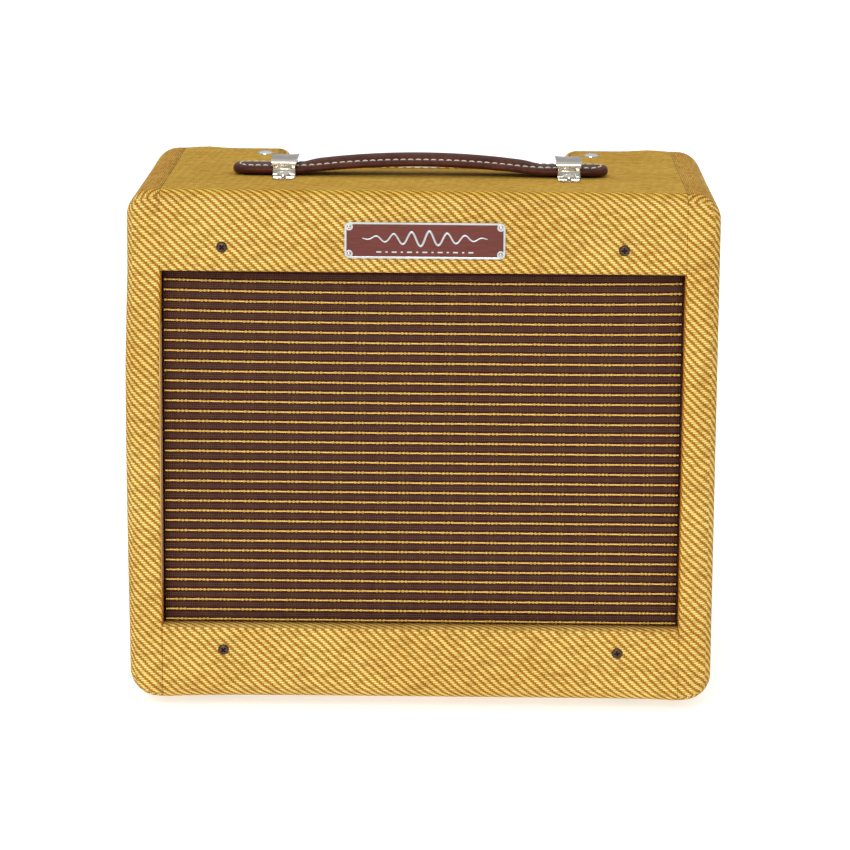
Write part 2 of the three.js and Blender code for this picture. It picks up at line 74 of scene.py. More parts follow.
view = {
    "position": (25.8, front - 2017.4, base + 577.6),
    "yaw": 0.679,
    "pitch": 11.525,
    "roll": 0.418,
    "lens": 150.28,
    "sensor": 36,
}
light = {
    "sun": 1.5,
    "sunSpread": 24,
    "sunHeight": 32,
    "sunSide": -10,
    "sky": 0.72,
    "skyStops": [(0.0, 0.75), (0.5, 0.8), (0.56, 0.55), (0.7, 0.75), (0.85, 1.2), (1.0, 1.1)],
    "floor": (0.6, 0.6, 0.6, 1),
    "floorGlow": 0.64,
    "floorReach": 40,
}


def addObject(name, data):
    made = bpy.data.objects.new(name, data)
    bpy.context.scene.collection.objects.link(made)
    return made


def aimCamera():
    camera = addObject("camera", bpy.data.cameras.new("camera"))
    camera.data.lens = view["lens"]
    camera.data.sensor_width = view["sensor"]
    camera.data.clip_end = 100
    yaw, pitch, roll = [math.radians(view[turn]) for turn in ("yaw", "pitch", "roll")]
    tilt = Matrix.Rotation(quarter - pitch, 4, "X") @ Matrix.Rotation(roll, 4, "Z")
    turn = Matrix.Rotation(yaw, 4, "Z") @ tilt
    camera.matrix_world = Matrix.Translation(Vector(view["position"]) * mm) @ turn
    bpy.context.scene.camera = camera


def newTree(name, roughness=0.5, metallic=0.0, **sockets):
    # a material with its shader's plain values set
    material = bpy.data.materials.new(name)
    material.use_nodes = True
    shader = material.node_tree.nodes["Principled BSDF"]
    shader.inputs["Roughness"].default_value = roughness
    shader.inputs["Metallic"].default_value = metallic
    for socket, value in sockets.items():
        shader.inputs[socket.replace("_", " ")].default_value = value
    return material, material.node_tree


def feed(tree, socket, value):
    if isinstance(value, (int, float, tuple)):
        socket.default_value = value
    else:
        tree.links.new(value, socket)


def ramp(tree, factor, stops):
    step = tree.nodes.new("ShaderNodeValToRGB")
    while len(step.color_ramp.elements) < len(stops):
        step.color_ramp.elements.new(0.5)
    for element, (place, colour) in zip(step.color_ramp.elements, stops):
        element.position = place
        element.color = colour if isinstance(colour, tuple) else (colour, colour, colour, 1)
    feed(tree, step.inputs[0], factor)
    return step.outputs[0]


def calc(tree, operation, *values, clamp=False):
    step = tree.nodes.new("ShaderNodeMath")
    step.operation = operation
    step.use_clamp = clamp
    for socket, value in zip(step.inputs, values):
        feed(tree, socket, value)
    return step.outputs[0]


def parted(tree, vector):
    step = tree.nodes.new("ShaderNodeSeparateXYZ")
    tree.links.new(vector, step.inputs[0])
    return step.outputs


def lightScene():
    scene = bpy.context.scene
    scene.view_settings.view_transform = "Standard"
    scene.world = bpy.data.worlds.new("studio")
    scene.world.use_nodes = True
    tree = scene.world.node_tree
    height = parted(tree, tree.nodes.new("ShaderNodeTexCoord").outputs["Generated"])["Z"]
    shade = ramp(tree, calc(tree, "MULTIPLY_ADD", height, 0.5, 0.5), light["skyStops"])
    tree.links.new(shade, tree.nodes["Background"].inputs["Color"])
    tree.nodes["Background"].inputs["Strength"].default_value = light["sky"]

    sun = addObject("sun", bpy.data.lights.new("sun", "SUN"))
    sun.data.energy = light["sun"]
    sun.data.angle = math.radians(light["sunSpread"])
    height, side = math.radians(light["sunHeight"]), math.radians(light["sunSide"])
    level = math.cos(height)
    towards = Vector((math.sin(side) * level, -math.cos(side) * level, math.sin(height)))
    sun.rotation_mode = "QUATERNION"
    sun.rotation_quaternion = towards.to_track_quat("Z", "Y")

    mesh = bpy.data.meshes.new("floorSheet")
    far = light["floorReach"]
    mesh.from_pydata([(-far, -far, 0), (far, -far, 0), (far, far, 0), (-far, far, 0)], [], [(0, 1, 2, 3)])
    material, tree = newTree("paleFloor", roughness=0.9)
    shader = tree.nodes["Principled BSDF"]
    shader.inputs["Base Color"].default_value = light["floor"]
    shader.inputs["Emission Color"].default_value = (1, 1, 1, 1)
    shader.inputs["Emission Strength"].default_value = light["floorGlow"]
    mesh.materials.append(material)
    addObject("floorSheet", mesh)


aimCamera()
lightScene()
print("camera, floor and light are in place")


# helpers for shader trees
def tint(red, green, blue):
    # a colour named by its screen values, as the linear numbers shaders take
    parts = [value / 255 for value in (red, green, blue)]
    return (*[p / 12.92 if p <= 0.04045 else ((p + 0.055) / 1.055) ** 2.4 for p in parts], 1)


def mixed(tree, factor, first, second, mode="MIX"):
    step = tree.nodes.new("ShaderNodeMix")
    step.data_type = "RGBA"
    step.blend_type = mode
    feed(tree, step.inputs["Factor"], factor)
    feed(tree, step.inputs[6], first)
    feed(tree, step.inputs[7], second)
    return step.outputs[2]


def objectPlace(tree, scale=None):
    place = tree.nodes.new("ShaderNodeTexCoord").outputs["Object"]
    if scale is None:
        return place
    step = tree.nodes.new("ShaderNodeMapping")
    step.inputs["Scale"].default_value = scale
    tree.links.new(place, step.inputs["Vector"])
    return step.outputs[0]


def texture(tree, kind, vector, **sockets):
    step = tree.nodes.new("ShaderNodeTex" + kind)
    for socket, value in sockets.items():
        step.inputs[socket.replace("_", " ")].default_value = value
    tree.links.new(vector, step.inputs["Vector"])
    return step


def noise(tree, vector, scale, detail=3.0, rough=0.5):
    return texture(tree, "Noise", vector, Scale=scale, Detail=detail, Roughness=rough).outputs["Fac"]


def spots(tree, vector, scale):
    return texture(tree, "Voronoi", vector, Scale=scale).outputs["Distance"]


def clothPlace(tree):
    # the cloth's own coordinates, and its length along and across in millimetres
    source = tree.nodes.new("ShaderNodeUVMap")
    source.uv_map = "cloth"
    along = parted(tree, source.outputs[0])
    return source.outputs[0], calc(tree, "MULTIPLY", along[0], 100), calc(tree, "MULTIPLY", along[1], 100)


def finished(material, colour, height, depth, strength=1.0, rough=None):
    # links a colour, a relief of some depth and perhaps a roughness to the material's shader
    tree = material.node_tree
    shader = tree.nodes["Principled BSDF"]
    tree.links.new(colour, shader.inputs["Base Color"])
    if rough is not None:
        tree.links.new(rough, shader.inputs["Roughness"])
    if height is not None:
        step = tree.nodes.new("ShaderNodeBump")
        step.inputs["Strength"].default_value = strength
        step.inputs["Distance"].default_value = depth * mm
        tree.links.new(height, step.inputs["Height"])
        tree.links.new(step.outputs[0], shader.inputs["Normal"])
    return material


tweedLook = {
    "row": 1.2,       # height of one row of floats
    "repeat": 5.08,   # from one float to the next in a row
    "shift": 0.25,    # each row steps over by this part of the repeat
    "float": 0.34,    # half length of a float, as a part of the repeat
    "wander": 0.9,    # how far the yarns stray
    "relief": 0.36,
    "valley": tint(150, 100, 30),
    "under": tint(197, 151, 62),
    "yarn": tint(238, 205, 110),
    # the crest tone is a painted highlight on the floats; the valley tone is partly the yarn's brown and
    # partly painted shade
    "crestHighlight": tint(250, 237, 168),
    # a painted shade, darker and more golden, for the cloth that faces sideways inside the opening
    "turned": (1.0, 0.72, 0.3, 1),
}


# the second argument is a painted shade multiplied into the cloth where it faces up on the cabinet's top
def tweedMaterial(name, paintedTopShade):
    look = tweedLook
    material, tree = newTree(name, roughness=0.85, Specular_IOR_Level=0.08)
    place, u, v = clothPlace(tree)
    strayU = calc(tree, "SUBTRACT", noise(tree, place, 9, 2), 0.5)
    strayV = calc(tree, "SUBTRACT", noise(tree, place, 13, 2), 0.5)
    u = calc(tree, "MULTIPLY_ADD", strayU, look["wander"] * 2, u)
    v = calc(tree, "MULTIPLY_ADD", strayV, look["wander"], v)
    rows = calc(tree, "DIVIDE", v, look["row"])
    row = calc(tree, "FLOOR", rows)
    phase = calc(tree, "MULTIPLY_ADD", row, look["shift"], calc(tree, "DIVIDE", u, look["repeat"]))
    along = calc(tree, "FRACT", phase)
    away = calc(tree, "DIVIDE", calc(tree, "SUBTRACT", along, 0.5), look["float"])
    away = calc(tree, "POWER", calc(tree, "ABSOLUTE", away), 3.2)
    rise = calc(tree, "SUBTRACT", 1.0, away, clamp=True)
    across = calc(tree, "SINE", calc(tree, "MULTIPLY", calc(tree, "FRACT", rows), math.pi))
    height = calc(tree, "MULTIPLY", rise, calc(tree, "MULTIPLY_ADD", across, 0.62, 0.38))
    # the yarns going the other way show as short dashes in the valleys
    cross = calc(tree, "SINE", calc(tree, "MULTIPLY", along, math.pi * 10))
    valley = calc(tree, "SUBTRACT", 1.0, rise)
    dash = calc(tree, "MULTIPLY", valley, calc(tree, "MULTIPLY_ADD", cross, 0.09, 0.1))
    height = calc(tree, "ADD", height, dash)
    # every float has a tone of its own
    cell = tree.nodes.new("ShaderNodeCombineXYZ")
    tree.links.new(row, cell.inputs[0])
    tree.links.new(calc(tree, "FLOOR", phase), cell.inputs[1])
    chance = texture(tree, "WhiteNoise", cell.outputs[0])
    chance.noise_dimensions = "2D"
    # the yarns' colours set by height: real gold yarn, with painted shade in the valleys and a painted
    # highlight on the crests
    yarns = [(0.0, look["valley"]), (0.3, look["under"]), (0.66, look["yarn"]), (1.0, look["crestHighlight"])]
    colour = ramp(tree, height, yarns)
    floats = [(0.0, tint(222, 208, 186)), (0.55, 1.0), (1.0, tint(255, 250, 238))]
    tones = ((0.85, chance.outputs["Value"], floats),
             (0.8, noise(tree, place, 1.3, 5, 0.62), [(0.3, tint(238, 226, 206)), (0.62, 1.0)]),
             (0.6, noise(tree, place, 240, 2), [(0.35, tint(236, 230, 220)), (0.7, 1.0)]))
    for amount, source, stops in tones:
        colour = mixed(tree, amount, colour, ramp(tree, source, stops), "MULTIPLY")
    # painted shade on the cabinet's top, browner there, and a darker, more golden painted shade where the
    # cloth turns into the opening's sides
    facing = parted(tree, tree.nodes.new("ShaderNodeNewGeometry").outputs["Normal"])
    where = parted(tree, objectPlace(tree))
    onTop = calc(tree, "GREATER_THAN", where["Z"], (top - 20) * mm)
    onTop = calc(tree, "MULTIPLY", ramp(tree, facing["Z"], [(0.72, 0.0), (0.86, 1.0)]), onTop)
    # faces turned sideways inside the opening take the painted ledge shade
    sideways = calc(tree, "GREATER_THAN", calc(tree, "ABSOLUTE", facing["X"]), 0.7)
    within = calc(tree, "LESS_THAN", calc(tree, "ABSOLUTE", where["X"]), (seam + 0.8) * mm)
    for part, tone in ((onTop, paintedTopShade), (calc(tree, "MULTIPLY", sideways, within), look["turned"])):
        colour = mixed(tree, part, colour, mixed(tree, 1.0, colour, tone, "MULTIPLY"))
    return finished(material, colour, height, look["relief"])


grilleLook = {
    "pitch": 5.968,         # from one gold thread to the next
    "first": base + 248.5,  # height of the top one
    "count": 35,
    "sag": 1.1,             # how far the upper threads bow down
    "group": 13.0,          # knotted and plain lengths, together
    "knots": 0.54,          # part of each group that is knotted
    "thread": 0.6,
    "weft": 1.19,
    "warp": 1.3,
    "brown": tint(78, 48, 37),
    "dark": tint(44, 22, 16),
    "pale": tint(104, 73, 58),
    # a painted shadow, in maroon, above and below each gold thread
    "paintedThreadShadow": tint(66, 12, 14),
    "gold": tint(238, 202, 100),
    "knot": tint(222, 184, 84),
}


def sagAt(x, z):
    # how far a thread at this height hangs below level
    part = max(0.0, min(1.0, (z - 60) / 190))
    return grilleLook["sag"] * part ** 2 * (1 - min(1.0, abs(x / 150)) ** 3)


def grilleMaterial():
    look = grilleLook
    material, tree = newTree("grilleWeave", roughness=0.8, Specular_IOR_Level=0.2)
    place, u, v = clothPlace(tree)
    threads = calc(tree, "DIVIDE", calc(tree, "SUBTRACT", v, look["first"]), look["pitch"])
    away = calc(tree, "SUBTRACT", calc(tree, "FRACT", calc(tree, "ADD", threads, 0.5)), 0.5)
    away = calc(tree, "MULTIPLY", calc(tree, "ABSOLUTE", away), look["pitch"])
    weft, warp, group = [calc(tree, "SINE", calc(tree, "MULTIPLY", way, 2 * math.pi / look[repeat]))
                         for way, repeat in ((v, "weft"), (u, "warp"), (u, "group"))]
    height = calc(tree, "ADD", calc(tree, "MULTIPLY", weft, 0.5), calc(tree, "MULTIPLY", warp, 0.35))
    weave = calc(tree, "MULTIPLY_ADD", height, 0.5, 0.5)
    field = ramp(tree, weave, [(0.1, look["dark"]), (0.5, look["brown"]), (1.0, look["pale"])])
    field = mixed(tree, calc(tree, "MULTIPLY_ADD", group, 0.1, 0.1), field, look["pale"])
    # the maroon band either side of each thread is a painted shadow of the thread
    edge = ramp(tree, calc(tree, "DIVIDE", away, 3.0), [(0.2, 1.0), (0.42, 0.9), (0.6, 0.0)])
    colour = mixed(tree, edge, field, look["paintedThreadShadow"])
    patchy = ramp(tree, noise(tree, place, 40, 3), [(0.3, tint(212, 205, 200)), (0.7, 1.0)])
    return finished(material, mixed(tree, 0.8, colour, patchy, "MULTIPLY"), height, 0.25)


def threadMaterial(name, colour, dark, scale=900):
    material, tree = newTree(name, roughness=0.55, Specular_IOR_Level=0.4)
    twist = noise(tree, objectPlace(tree, (1, 1, 3)), scale, 2)
    return finished(material, ramp(tree, twist, [(0.3, dark), (0.6, colour)]), twist, 0.12)


def leatherMaterial():
    material, tree = newTree("oxbloodLeather", Specular_IOR_Level=0.16)
    place = objectPlace(tree)
    creases = noise(tree, objectPlace(tree, (1, 2.2, 1)), 420, 4, 0.6)
    tones = [(0.25, tint(54, 20, 10)), (0.5, tint(76, 34, 22)), (0.8, tint(95, 48, 34))]
    colour = ramp(tree, noise(tree, place, 60, 4, 0.6), tones)
    colour = mixed(tree, ramp(tree, creases, [(0.35, 0.45), (0.55, 0.0)]), colour, tint(40, 15, 10))
    height = calc(tree, "ADD", calc(tree, "MULTIPLY", spots(tree, place, 1500), 0.6), creases)
    rough = ramp(tree, creases, [(0.3, 0.55), (0.7, 0.34)])
    return finished(material, colour, height, 0.12, rough=rough)


def metalMaterial(name, colour, rough, scratch=0.06, grain=(1, 1, 1), stain=None, stained=0.0):
    material, tree = newTree(name, metallic=1.0)
    place = objectPlace(tree)
    fine = noise(tree, objectPlace(tree, grain), 700, 4, 0.6)
    low = tuple(c * 0.86 for c in colour[:3]) + (1,)
    shade = ramp(tree, noise(tree, place, 45, 4, 0.6), [(0.3, low), (0.65, colour)])
    if stain:
        part = ramp(tree, noise(tree, place, 160, 5, 0.7), [(0.62, 0.0), (0.75, stained)])
        shade = mixed(tree, part, shade, stain)
    worn = calc(tree, "ADD", calc(tree, "MULTIPLY", fine, scratch * 2), rough - scratch, clamp=True)
    return finished(material, shade, fine, 0.02, 0.5, worn)


def mouldedMaterial(name, colour, streak, rough=0.35):
    material, tree = newTree(name, Specular_IOR_Level=0.5)
    swirl = noise(tree, objectPlace(tree, (1, 1, 2.5)), 130, 5, 0.65)
    fine = noise(tree, objectPlace(tree), 1600, 2)
    worn = calc(tree, "MULTIPLY_ADD", fine, 0.16, rough - 0.08)
    return finished(material, ramp(tree, swirl, [(0.35, colour), (0.62, streak)]), fine, 0.015, 0.6, worn)


def pineMaterial(name, scale, bands):
    material, tree = newTree(name, roughness=0.65, Specular_IOR_Level=0.3)
    long = objectPlace(tree, scale)
    rings = texture(tree, "Wave", long, Scale=38, Distortion=6, Detail=3, Detail_Scale=1.6)
    rings.bands_direction = bands
    grain = noise(tree, long, 520, 4, 0.6)
    tones = [(0.1, tint(203, 163, 104)), (0.6, tint(226, 192, 138)), (0.95, tint(186, 136, 78))]
    colour = ramp(tree, rings.outputs["Fac"], tones)
    colour = mixed(tree, ramp(tree, grain, [(0.42, 0.35), (0.6, 0.0)]), colour, tint(158, 112, 62))
    knots = ramp(tree, spots(tree, objectPlace(tree, scale), 26), [(0.02, 0.9), (0.07, 0.0)])
    return finished(material, mixed(tree, knots, colour, tint(110, 66, 34)), grain, 0.08)


def paperMaterial(name, colour, dark):
    material, tree = newTree(name, roughness=0.9, Specular_IOR_Level=0.15)
    fibres, cloud = noise(tree, objectPlace(tree), 900, 4, 0.7), noise(tree, objectPlace(tree), 70, 3)
    tone = calc(tree, "ADD", calc(tree, "MULTIPLY", fibres, 0.6), calc(tree, "MULTIPLY", cloud, 0.4))
    return finished(material, ramp(tree, tone, [(0.35, dark), (0.62, colour)]), fibres, 0.1)


def rubberMaterial():
    material, tree = newTree("blackRubber", Specular_IOR_Level=0.3)
    dust = noise(tree, objectPlace(tree), 260, 5, 0.7)
    colour = ramp(tree, dust, [(0.4, tint(24, 23, 22)), (0.75, tint(52, 49, 46))])
    rough = ramp(tree, dust, [(0.3, 0.66), (0.8, 0.92)])
    return finished(material, colour, noise(tree, objectPlace(tree), 1400, 2), 0.05, rough=rough)


def glassMaterial(name, colour, rough=0.02):
    material, tree = newTree(name, Transmission_Weight=1.0, IOR=1.45)
    smear = noise(tree, objectPlace(tree), 90, 4, 0.6)
    shade = ramp(tree, smear, [(0.35, colour), (0.8, tuple(c * 0.93 for c in colour[:3]) + (1,))])
    return finished(material, shade, None, 0, rough=ramp(tree, smear, [(0.4, rough), (0.85, rough + 0.12)]))


# the two tweeds differ only in the painted shade laid on their top faces
tweed = tweedMaterial("tweed", (1.0, 0.94, 0.58, 1))
tweedSide = tweedMaterial("tweedSidePaintedTopShade", (0.92, 0.8, 0.56, 1))
grilleWeave = grilleMaterial()
goldThread = threadMaterial("goldThread", grilleLook["gold"], tint(196, 150, 58))
goldKnots = threadMaterial("goldKnots", grilleLook["knot"], tint(164, 124, 48))
stitchThread = threadMaterial("stitchThread", tint(222, 216, 196), tint(178, 168, 144), 1400)
leather = leatherMaterial()
nickel = metalMaterial("nickelPlate", tint(214, 208, 196), 0.16, 0.05, (1, 1, 1), tint(120, 96, 60), 0.25)
chrome = metalMaterial("chromePlate", tint(222, 224, 226), 0.09, 0.05)
steel = metalMaterial("zincSteel", tint(168, 170, 172), 0.34, 0.1, (1, 1, 6))
darkIron = metalMaterial("blackIron", tint(58, 58, 60), 0.42, 0.1)
laminations = metalMaterial("laminations", tint(96, 90, 84), 0.5, 0.12, (0.2, 6, 0.2))
brass = metalMaterial("brassEyelets", tint(206, 164, 84), 0.25)
blackOxide = metalMaterial("blackOxide", tint(92, 72, 62), 0.44, 0.1, (1, 1, 1), tint(52, 38, 32), 0.6)
# near-black painted shade for the screws' cross recesses and the bottom of the jacks' bores
paintedRecessShade = mouldedMaterial("paintedRecessShade", tint(14, 12, 12), tint(22, 19, 18), 0.8)
brownPhenolic = mouldedMaterial("brownPhenolic", tint(54, 27, 15), tint(78, 42, 24))
blackPhenolic = mouldedMaterial("blackPhenolic", tint(20, 18, 18), tint(34, 31, 30))
creamInlay = mouldedMaterial("creamInlay", tint(232, 226, 206), tint(218, 208, 184))
printInk = mouldedMaterial("printInk", tint(18, 17, 20), tint(30, 28, 32), 0.5)
pineAlong = pineMaterial("pineAlongX", (0.09, 1, 1), "Z")
pineUp = pineMaterial("pineAlongZ", (1, 1, 0.09), "Y")
conePaper = paperMaterial("conePaper", tint(66, 64, 62), tint(40, 39, 38))
feltPaper = paperMaterial("feltPaper", tint(88, 84, 78), tint(58, 55, 50))
amberCloth = paperMaterial("amberCloth", tint(176, 128, 62), tint(120, 80, 34))
boardFibre = paperMaterial("boardFibre", tint(44, 42, 40), tint(26, 25, 24))
waxPaper = mouldedMaterial("waxPaper", tint(206, 178, 88), tint(184, 150, 62), 0.45)
carbonBody = mouldedMaterial("carbonBody", tint(112, 74, 46), tint(92, 58, 36), 0.5)
rubber = rubberMaterial()
clearGlass = glassMaterial("clearGlass", (0.96, 0.98, 0.98, 1))
redGlass = glassMaterial("redGlass", (0.75, 0.02, 0.015, 1), 0.04)
print("finishes made")


# helpers for meshes; points are in millimetres
def finishMesh(name, made, material, angle=35):
    mesh = bpy.data.meshes.new(name)
    bmesh.ops.remove_doubles(made, verts=made.verts, dist=1e-6)
    bmesh.ops.recalc_face_normals(made, faces=made.faces)
    made.to_mesh(mesh)
    made.free()
    mesh.materials.append(material)
    mesh.shade_smooth()
    mesh.set_sharp_from_angle(angle=math.radians(angle))
    return addObject(name, mesh)


def meshPiece(name, points, faces, material, angle=35):
    made = bmesh.new()
    places = [made.verts.new(Vector(p) * mm) for p in points]
    for face in faces:
        if len(set(face)) > 2:
            try:
                made.faces.new([places[i] for i in face])
            except ValueError:
                pass
    return finishMesh(name, made, material, angle)


def gridFaces(rows, columns, closed=False, start=0):
    wrap = columns if closed else columns - 1
    return [
        (start + i * columns + j, start + i * columns + (j + 1) % columns,
         start + (i + 1) * columns + (j + 1) % columns, start + (i + 1) * columns + j)
        for i in range(rows - 1) for j in range(wrap)
    ]


def tubeFaces(rows, sides, start=0):
    # a closed tube with a cap at each end
    last = start + (rows - 1) * sides
    caps = [tuple(range(first, first + sides)) for first in (start, last)]
    return gridFaces(rows, sides, closed=True, start=start) + caps


def arcPoints(cx, cy, radius, fromAngle, toAngle, steps):
    angles = [fromAngle + (toAngle - fromAngle) * i / steps for i in range(steps + 1)]
    return [(cx + radius * math.cos(a), cy + radius * math.sin(a)) for a in angles]


def roundedOutline(x0, x1, z0, z1, r, steps=8):
    outline = []
    middles = ((x1 - r, z0 + r), (x1 - r, z1 - r), (x0 + r, z1 - r), (x0 + r, z0 + r))
    for turn, (x, z) in enumerate(middles):
        outline += arcPoints(x, z, r, (turn - 1) * quarter, turn * quarter, steps)
    return outline


def alongAt(path, i):
    # direction of a path of vectors at one of its points
    return (path[min(i + 1, len(path) - 1)] - path[max(i - 1, 0)]).normalized()


def rod(radius, low, high):
    return [(0, low), (radius, low), (radius, high), (0, high)]


def ringLine(inner, outer, low, high):
    return [(inner, low), (outer, low), (outer, high), (inner, high), (inner, low)]


def domeLine(radius, level, height, angles):
    return [(radius * math.cos(t), level + height * math.sin(t)) for t in angles]


def rounded(profile, radius=0.4, steps=4):
    # eases each inner corner of an open profile by a small arc
    made = [Vector(profile[0])]
    for before, spot, after in zip(profile, profile[1:], profile[2:]):
        here = Vector(spot)
        intoIt, outOfIt = Vector(before) - here, Vector(after) - here
        cut = min(radius, intoIt.length * 0.45, outOfIt.length * 0.45)
        start, end = here + intoIt.normalized() * cut, here + outOfIt.normalized() * cut
        for t in [i / steps for i in range(steps + 1)]:
            made.append(start * (1 - t) ** 2 + here * 2 * t * (1 - t) + end * t ** 2)
    made.append(Vector(profile[-1]))
    return [tuple(p) for p in made]


def lathe(name, profile, at, material, axis="z", steps=48, ease=0.4, angle=40):
    # a profile of (radius, distance) turned about an axis through a point
    points = []
    for radius, distance in rounded(profile, ease) if ease else profile:
        for k in range(steps):
            a = 2 * math.pi * k / steps
            c, s = radius * math.cos(a), radius * math.sin(a)
            spot = {"z": (c, s, distance), "y": (c, distance, s)}[axis]
            points.append(Vector(at) + Vector(spot))
    return meshPiece(name, points, gridFaces(len(points) // steps, steps, closed=True), material, angle)


def boxPiece(name, low, high, material, bevel=0.5):
    made = bmesh.new()
    bmesh.ops.create_cube(made, size=1)
    size, middle = Vector(high) - Vector(low), (Vector(high) + Vector(low)) / 2
    for v in made.verts:
        v.co = (Vector([v.co[i] * size[i] for i in range(3)]) + middle) * mm
    if bevel:
        bmesh.ops.bevel(made, geom=made.edges[:], offset=bevel * mm, segments=3, profile=0.5, affect="EDGES")
    return finishMesh(name, made, material, 40)


def outlinePiece(name, outline, low, high, material, bevel=0.0, plane="xy"):
    # a closed outline made solid between two levels; plane "xz" stands it up, facing front
    def place(p, level):
        return (p[0], p[1], level) if plane == "xy" else (p[0], level, p[1])
    made = bmesh.new()
    face = made.faces.new([made.verts.new(Vector(place(p, low)) * mm) for p in outline])
    grown = bmesh.ops.extrude_face_region(made, geom=[face])
    for item in grown["geom"]:
        if isinstance(item, bmesh.types.BMVert):
            item.co += Vector(place((0, 0), high - low)) * mm
    if bevel:
        rim = [e for e in made.edges if len(e.link_faces) == 2 and e.calc_face_angle(0) > 0.9]
        bmesh.ops.bevel(made, geom=rim, offset=bevel * mm, segments=3, profile=0.5, affect="EDGES")
    return finishMesh(name, made, material, 35)


def joined(name, pieces):
    # several meshes made into one piece; its materials stay on their faces
    first = pieces[0]
    for other in pieces[1:]:
        for material in other.data.materials:
            if material.name not in [m.name for m in first.data.materials]:
                first.data.materials.append(material)
    with bpy.context.temp_override(active_object=first, selected_editable_objects=pieces):
        bpy.ops.object.join()
    first.name = name
    return first


def applyStep(piece, kind, **values):
    # adds a modifier with its values and applies it
    step = piece.modifiers.new("step", kind)
    for key, value in values.items():
        setattr(step, key, value)
    with bpy.context.temp_override(object=piece, active_object=piece):
        bpy.ops.object.modifier_apply(modifier=step.name)


def cutAway(piece, tool):
    applyStep(piece, "BOOLEAN", operation="DIFFERENCE", solver="EXACT", object=tool)
    bpy.data.objects.remove(tool)


def drill(piece, radius, low, high, x, y, steps, material):
    cutAway(piece, lathe("bore", rod(radius, low, high), (x, y, 0), material, "z", steps, 0))


def thicken(piece, thickness, offset=-1):
    applyStep(piece, "SOLIDIFY", thickness=thickness * mm, offset=offset)


def sheetPiece(name, points, faces, material, outward, thickness, angle=60, offset=-1):
    # an open surface with its largest face looking outward, then thickened
    piece = meshPiece(name, points, faces, material, angle)
    outward = Vector(outward)
    biggest = max(piece.data.polygons, key=lambda face: face.area * abs(face.normal.dot(outward)))
    if biggest.normal.dot(outward) < 0:
        piece.data.flip_normals()
    thicken(piece, thickness, offset)
    return piece


def layCloth(piece, rule):
    # gives every corner of every face its place on the flat cloth, by rule(point, normal) in millimetres
    mesh = piece.data
    layer = mesh.uv_layers.get("cloth") or mesh.uv_layers.new(name="cloth")
    for face in mesh.polygons:
        for loop in face.loop_indices:
            u, v = rule(mesh.vertices[mesh.loops[loop].vertex_index].co / mm, face.normal)
            layer.data[loop].uv = (u / 100, v / 100)


def install(piece, body, slotName, *replaced):
    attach(piece, body)
    if replaced:
        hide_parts(*replaced)
    return piece


leadCare = {
    "route": [(-97, 61, 196), (-97, 60, 188), (-96, 52, 180), (-90, 38, 172), (-82, 20, 166), (-74, 4, 163),
              (-66, -12, 161), (-60, -22, 159), (-56.5, -27.5, 158.4)],
    "radius": 1.7,
    "length": 113,
}


def makeLead():
    # made first, because its route is fixed by the frame
    curve = bpy.data.curves.new("speakerLead", "CURVE")
    curve.dimensions = "3D"
    curve.bevel_depth = leadCare["radius"] * mm
    curve.bevel_resolution = 5
    curve.use_fill_caps = True
    line = curve.splines.new("BEZIER")
    line.bezier_points.add(len(leadCare["route"]) - 1)
    for point, place in zip(line.bezier_points, leadCare["route"]):
        point.co = Vector(place) * mm
        point.handle_left_type = point.handle_right_type = "AUTO"
    lead = addObject("speakerLead", curve)
    material, tree = newTree("braidedLead", roughness=0.8)
    braid = spots(tree, objectPlace(tree), 900)
    colour = ramp(tree, braid, [(0.2, tint(58, 52, 44)), (0.6, tint(24, 22, 20))])
    curve.materials.append(finished(material, colour, braid, 0.2))
    install(lead, "cabinet", "rubber", "speaker_lead")


makeLead()

coverShape = {
    "roll": 2.2,       # radius where the cloth turns into the opening
    "lowerRoll": 3.9,  # and over the lower panel's edge
    "crease": 0.3,     # radius where two pieces of cloth meet
    "proud": 0.45,     # how far the turned-in cloth stands off the side boards
    "bow": 1.6,        # how far the left side swells between its ends
    "drawIn": 0.15,    # and the most that it draws in
    "rearLift": 0.75,  # the turned-under cloth raises the top's rear edge
    "turnIn": 11.8,    # cloth turned into the opening
    "turnDown": 19.8,  # cloth turned down at the back
    "notchSide": 86,
    "notchFlare": 12,
    "notchFlareStart": 27.5,
    "notchFront": 113.5,
    "notchCorner": 18,
    "notchHem": 15,
}


def within01(value):
    return max(0.0, min(1.0, value))


def clothLift(x, y, z):
    # how far the cloth swells above the top board, or below the bottom one
    if z > top - 13:
        hill = math.exp(-((abs(x) - 138) / 9) ** 2)
        return within01((y - 20) / 60) ** 2 * (coverShape["rearLift"] + 0.9 * hill)
    if z < base + 9:
        swell, reach = (1.5, 24) if x < 0 else (0.9, 9)
        return -swell * math.exp(-abs(150 - abs(x)) / reach)
    return 0.0


def bandProfile(edge, far, s):
    # the (y, z) path of the upper or lower cover, from inside the opening round the front to the back
    roll = coverShape["roll"] if s > 0 else coverShape["lowerRoll"]
    path = [(front + coverShape["turnIn"], edge), (front + 6, edge)]
    path += arcPoints(front + roll, edge + s * roll, roll, -s * quarter, -s * 2 * quarter, 6)
    path += [(front, edge + (far - edge) * k) for k in (0.25, 0.5)]
    path += arcPoints(front + rf, far - s * rf, rf, math.pi, math.pi - s * quarter, 10)
    path += [(front + rf + (back - rb - front - rf) * k, far) for k in (0.25, 0.5, 0.75)]
    path += arcPoints(back - rb, far - s * rb, rb, s * quarter, 0, 6)
    return path + [(back, far - s * coverShape["turnDown"])]


def bandSheet(edge, far):
    # flat size of a band cover: over the lip, up or down the front, along the board and round its rear edge
    run = coverShape["turnIn"] + abs(far - edge) - rf + (rf + rb) * quarter
    run += back - front - rf - rb + coverShape["turnDown"] - rb
    return 2 * seam * mm, run * mm


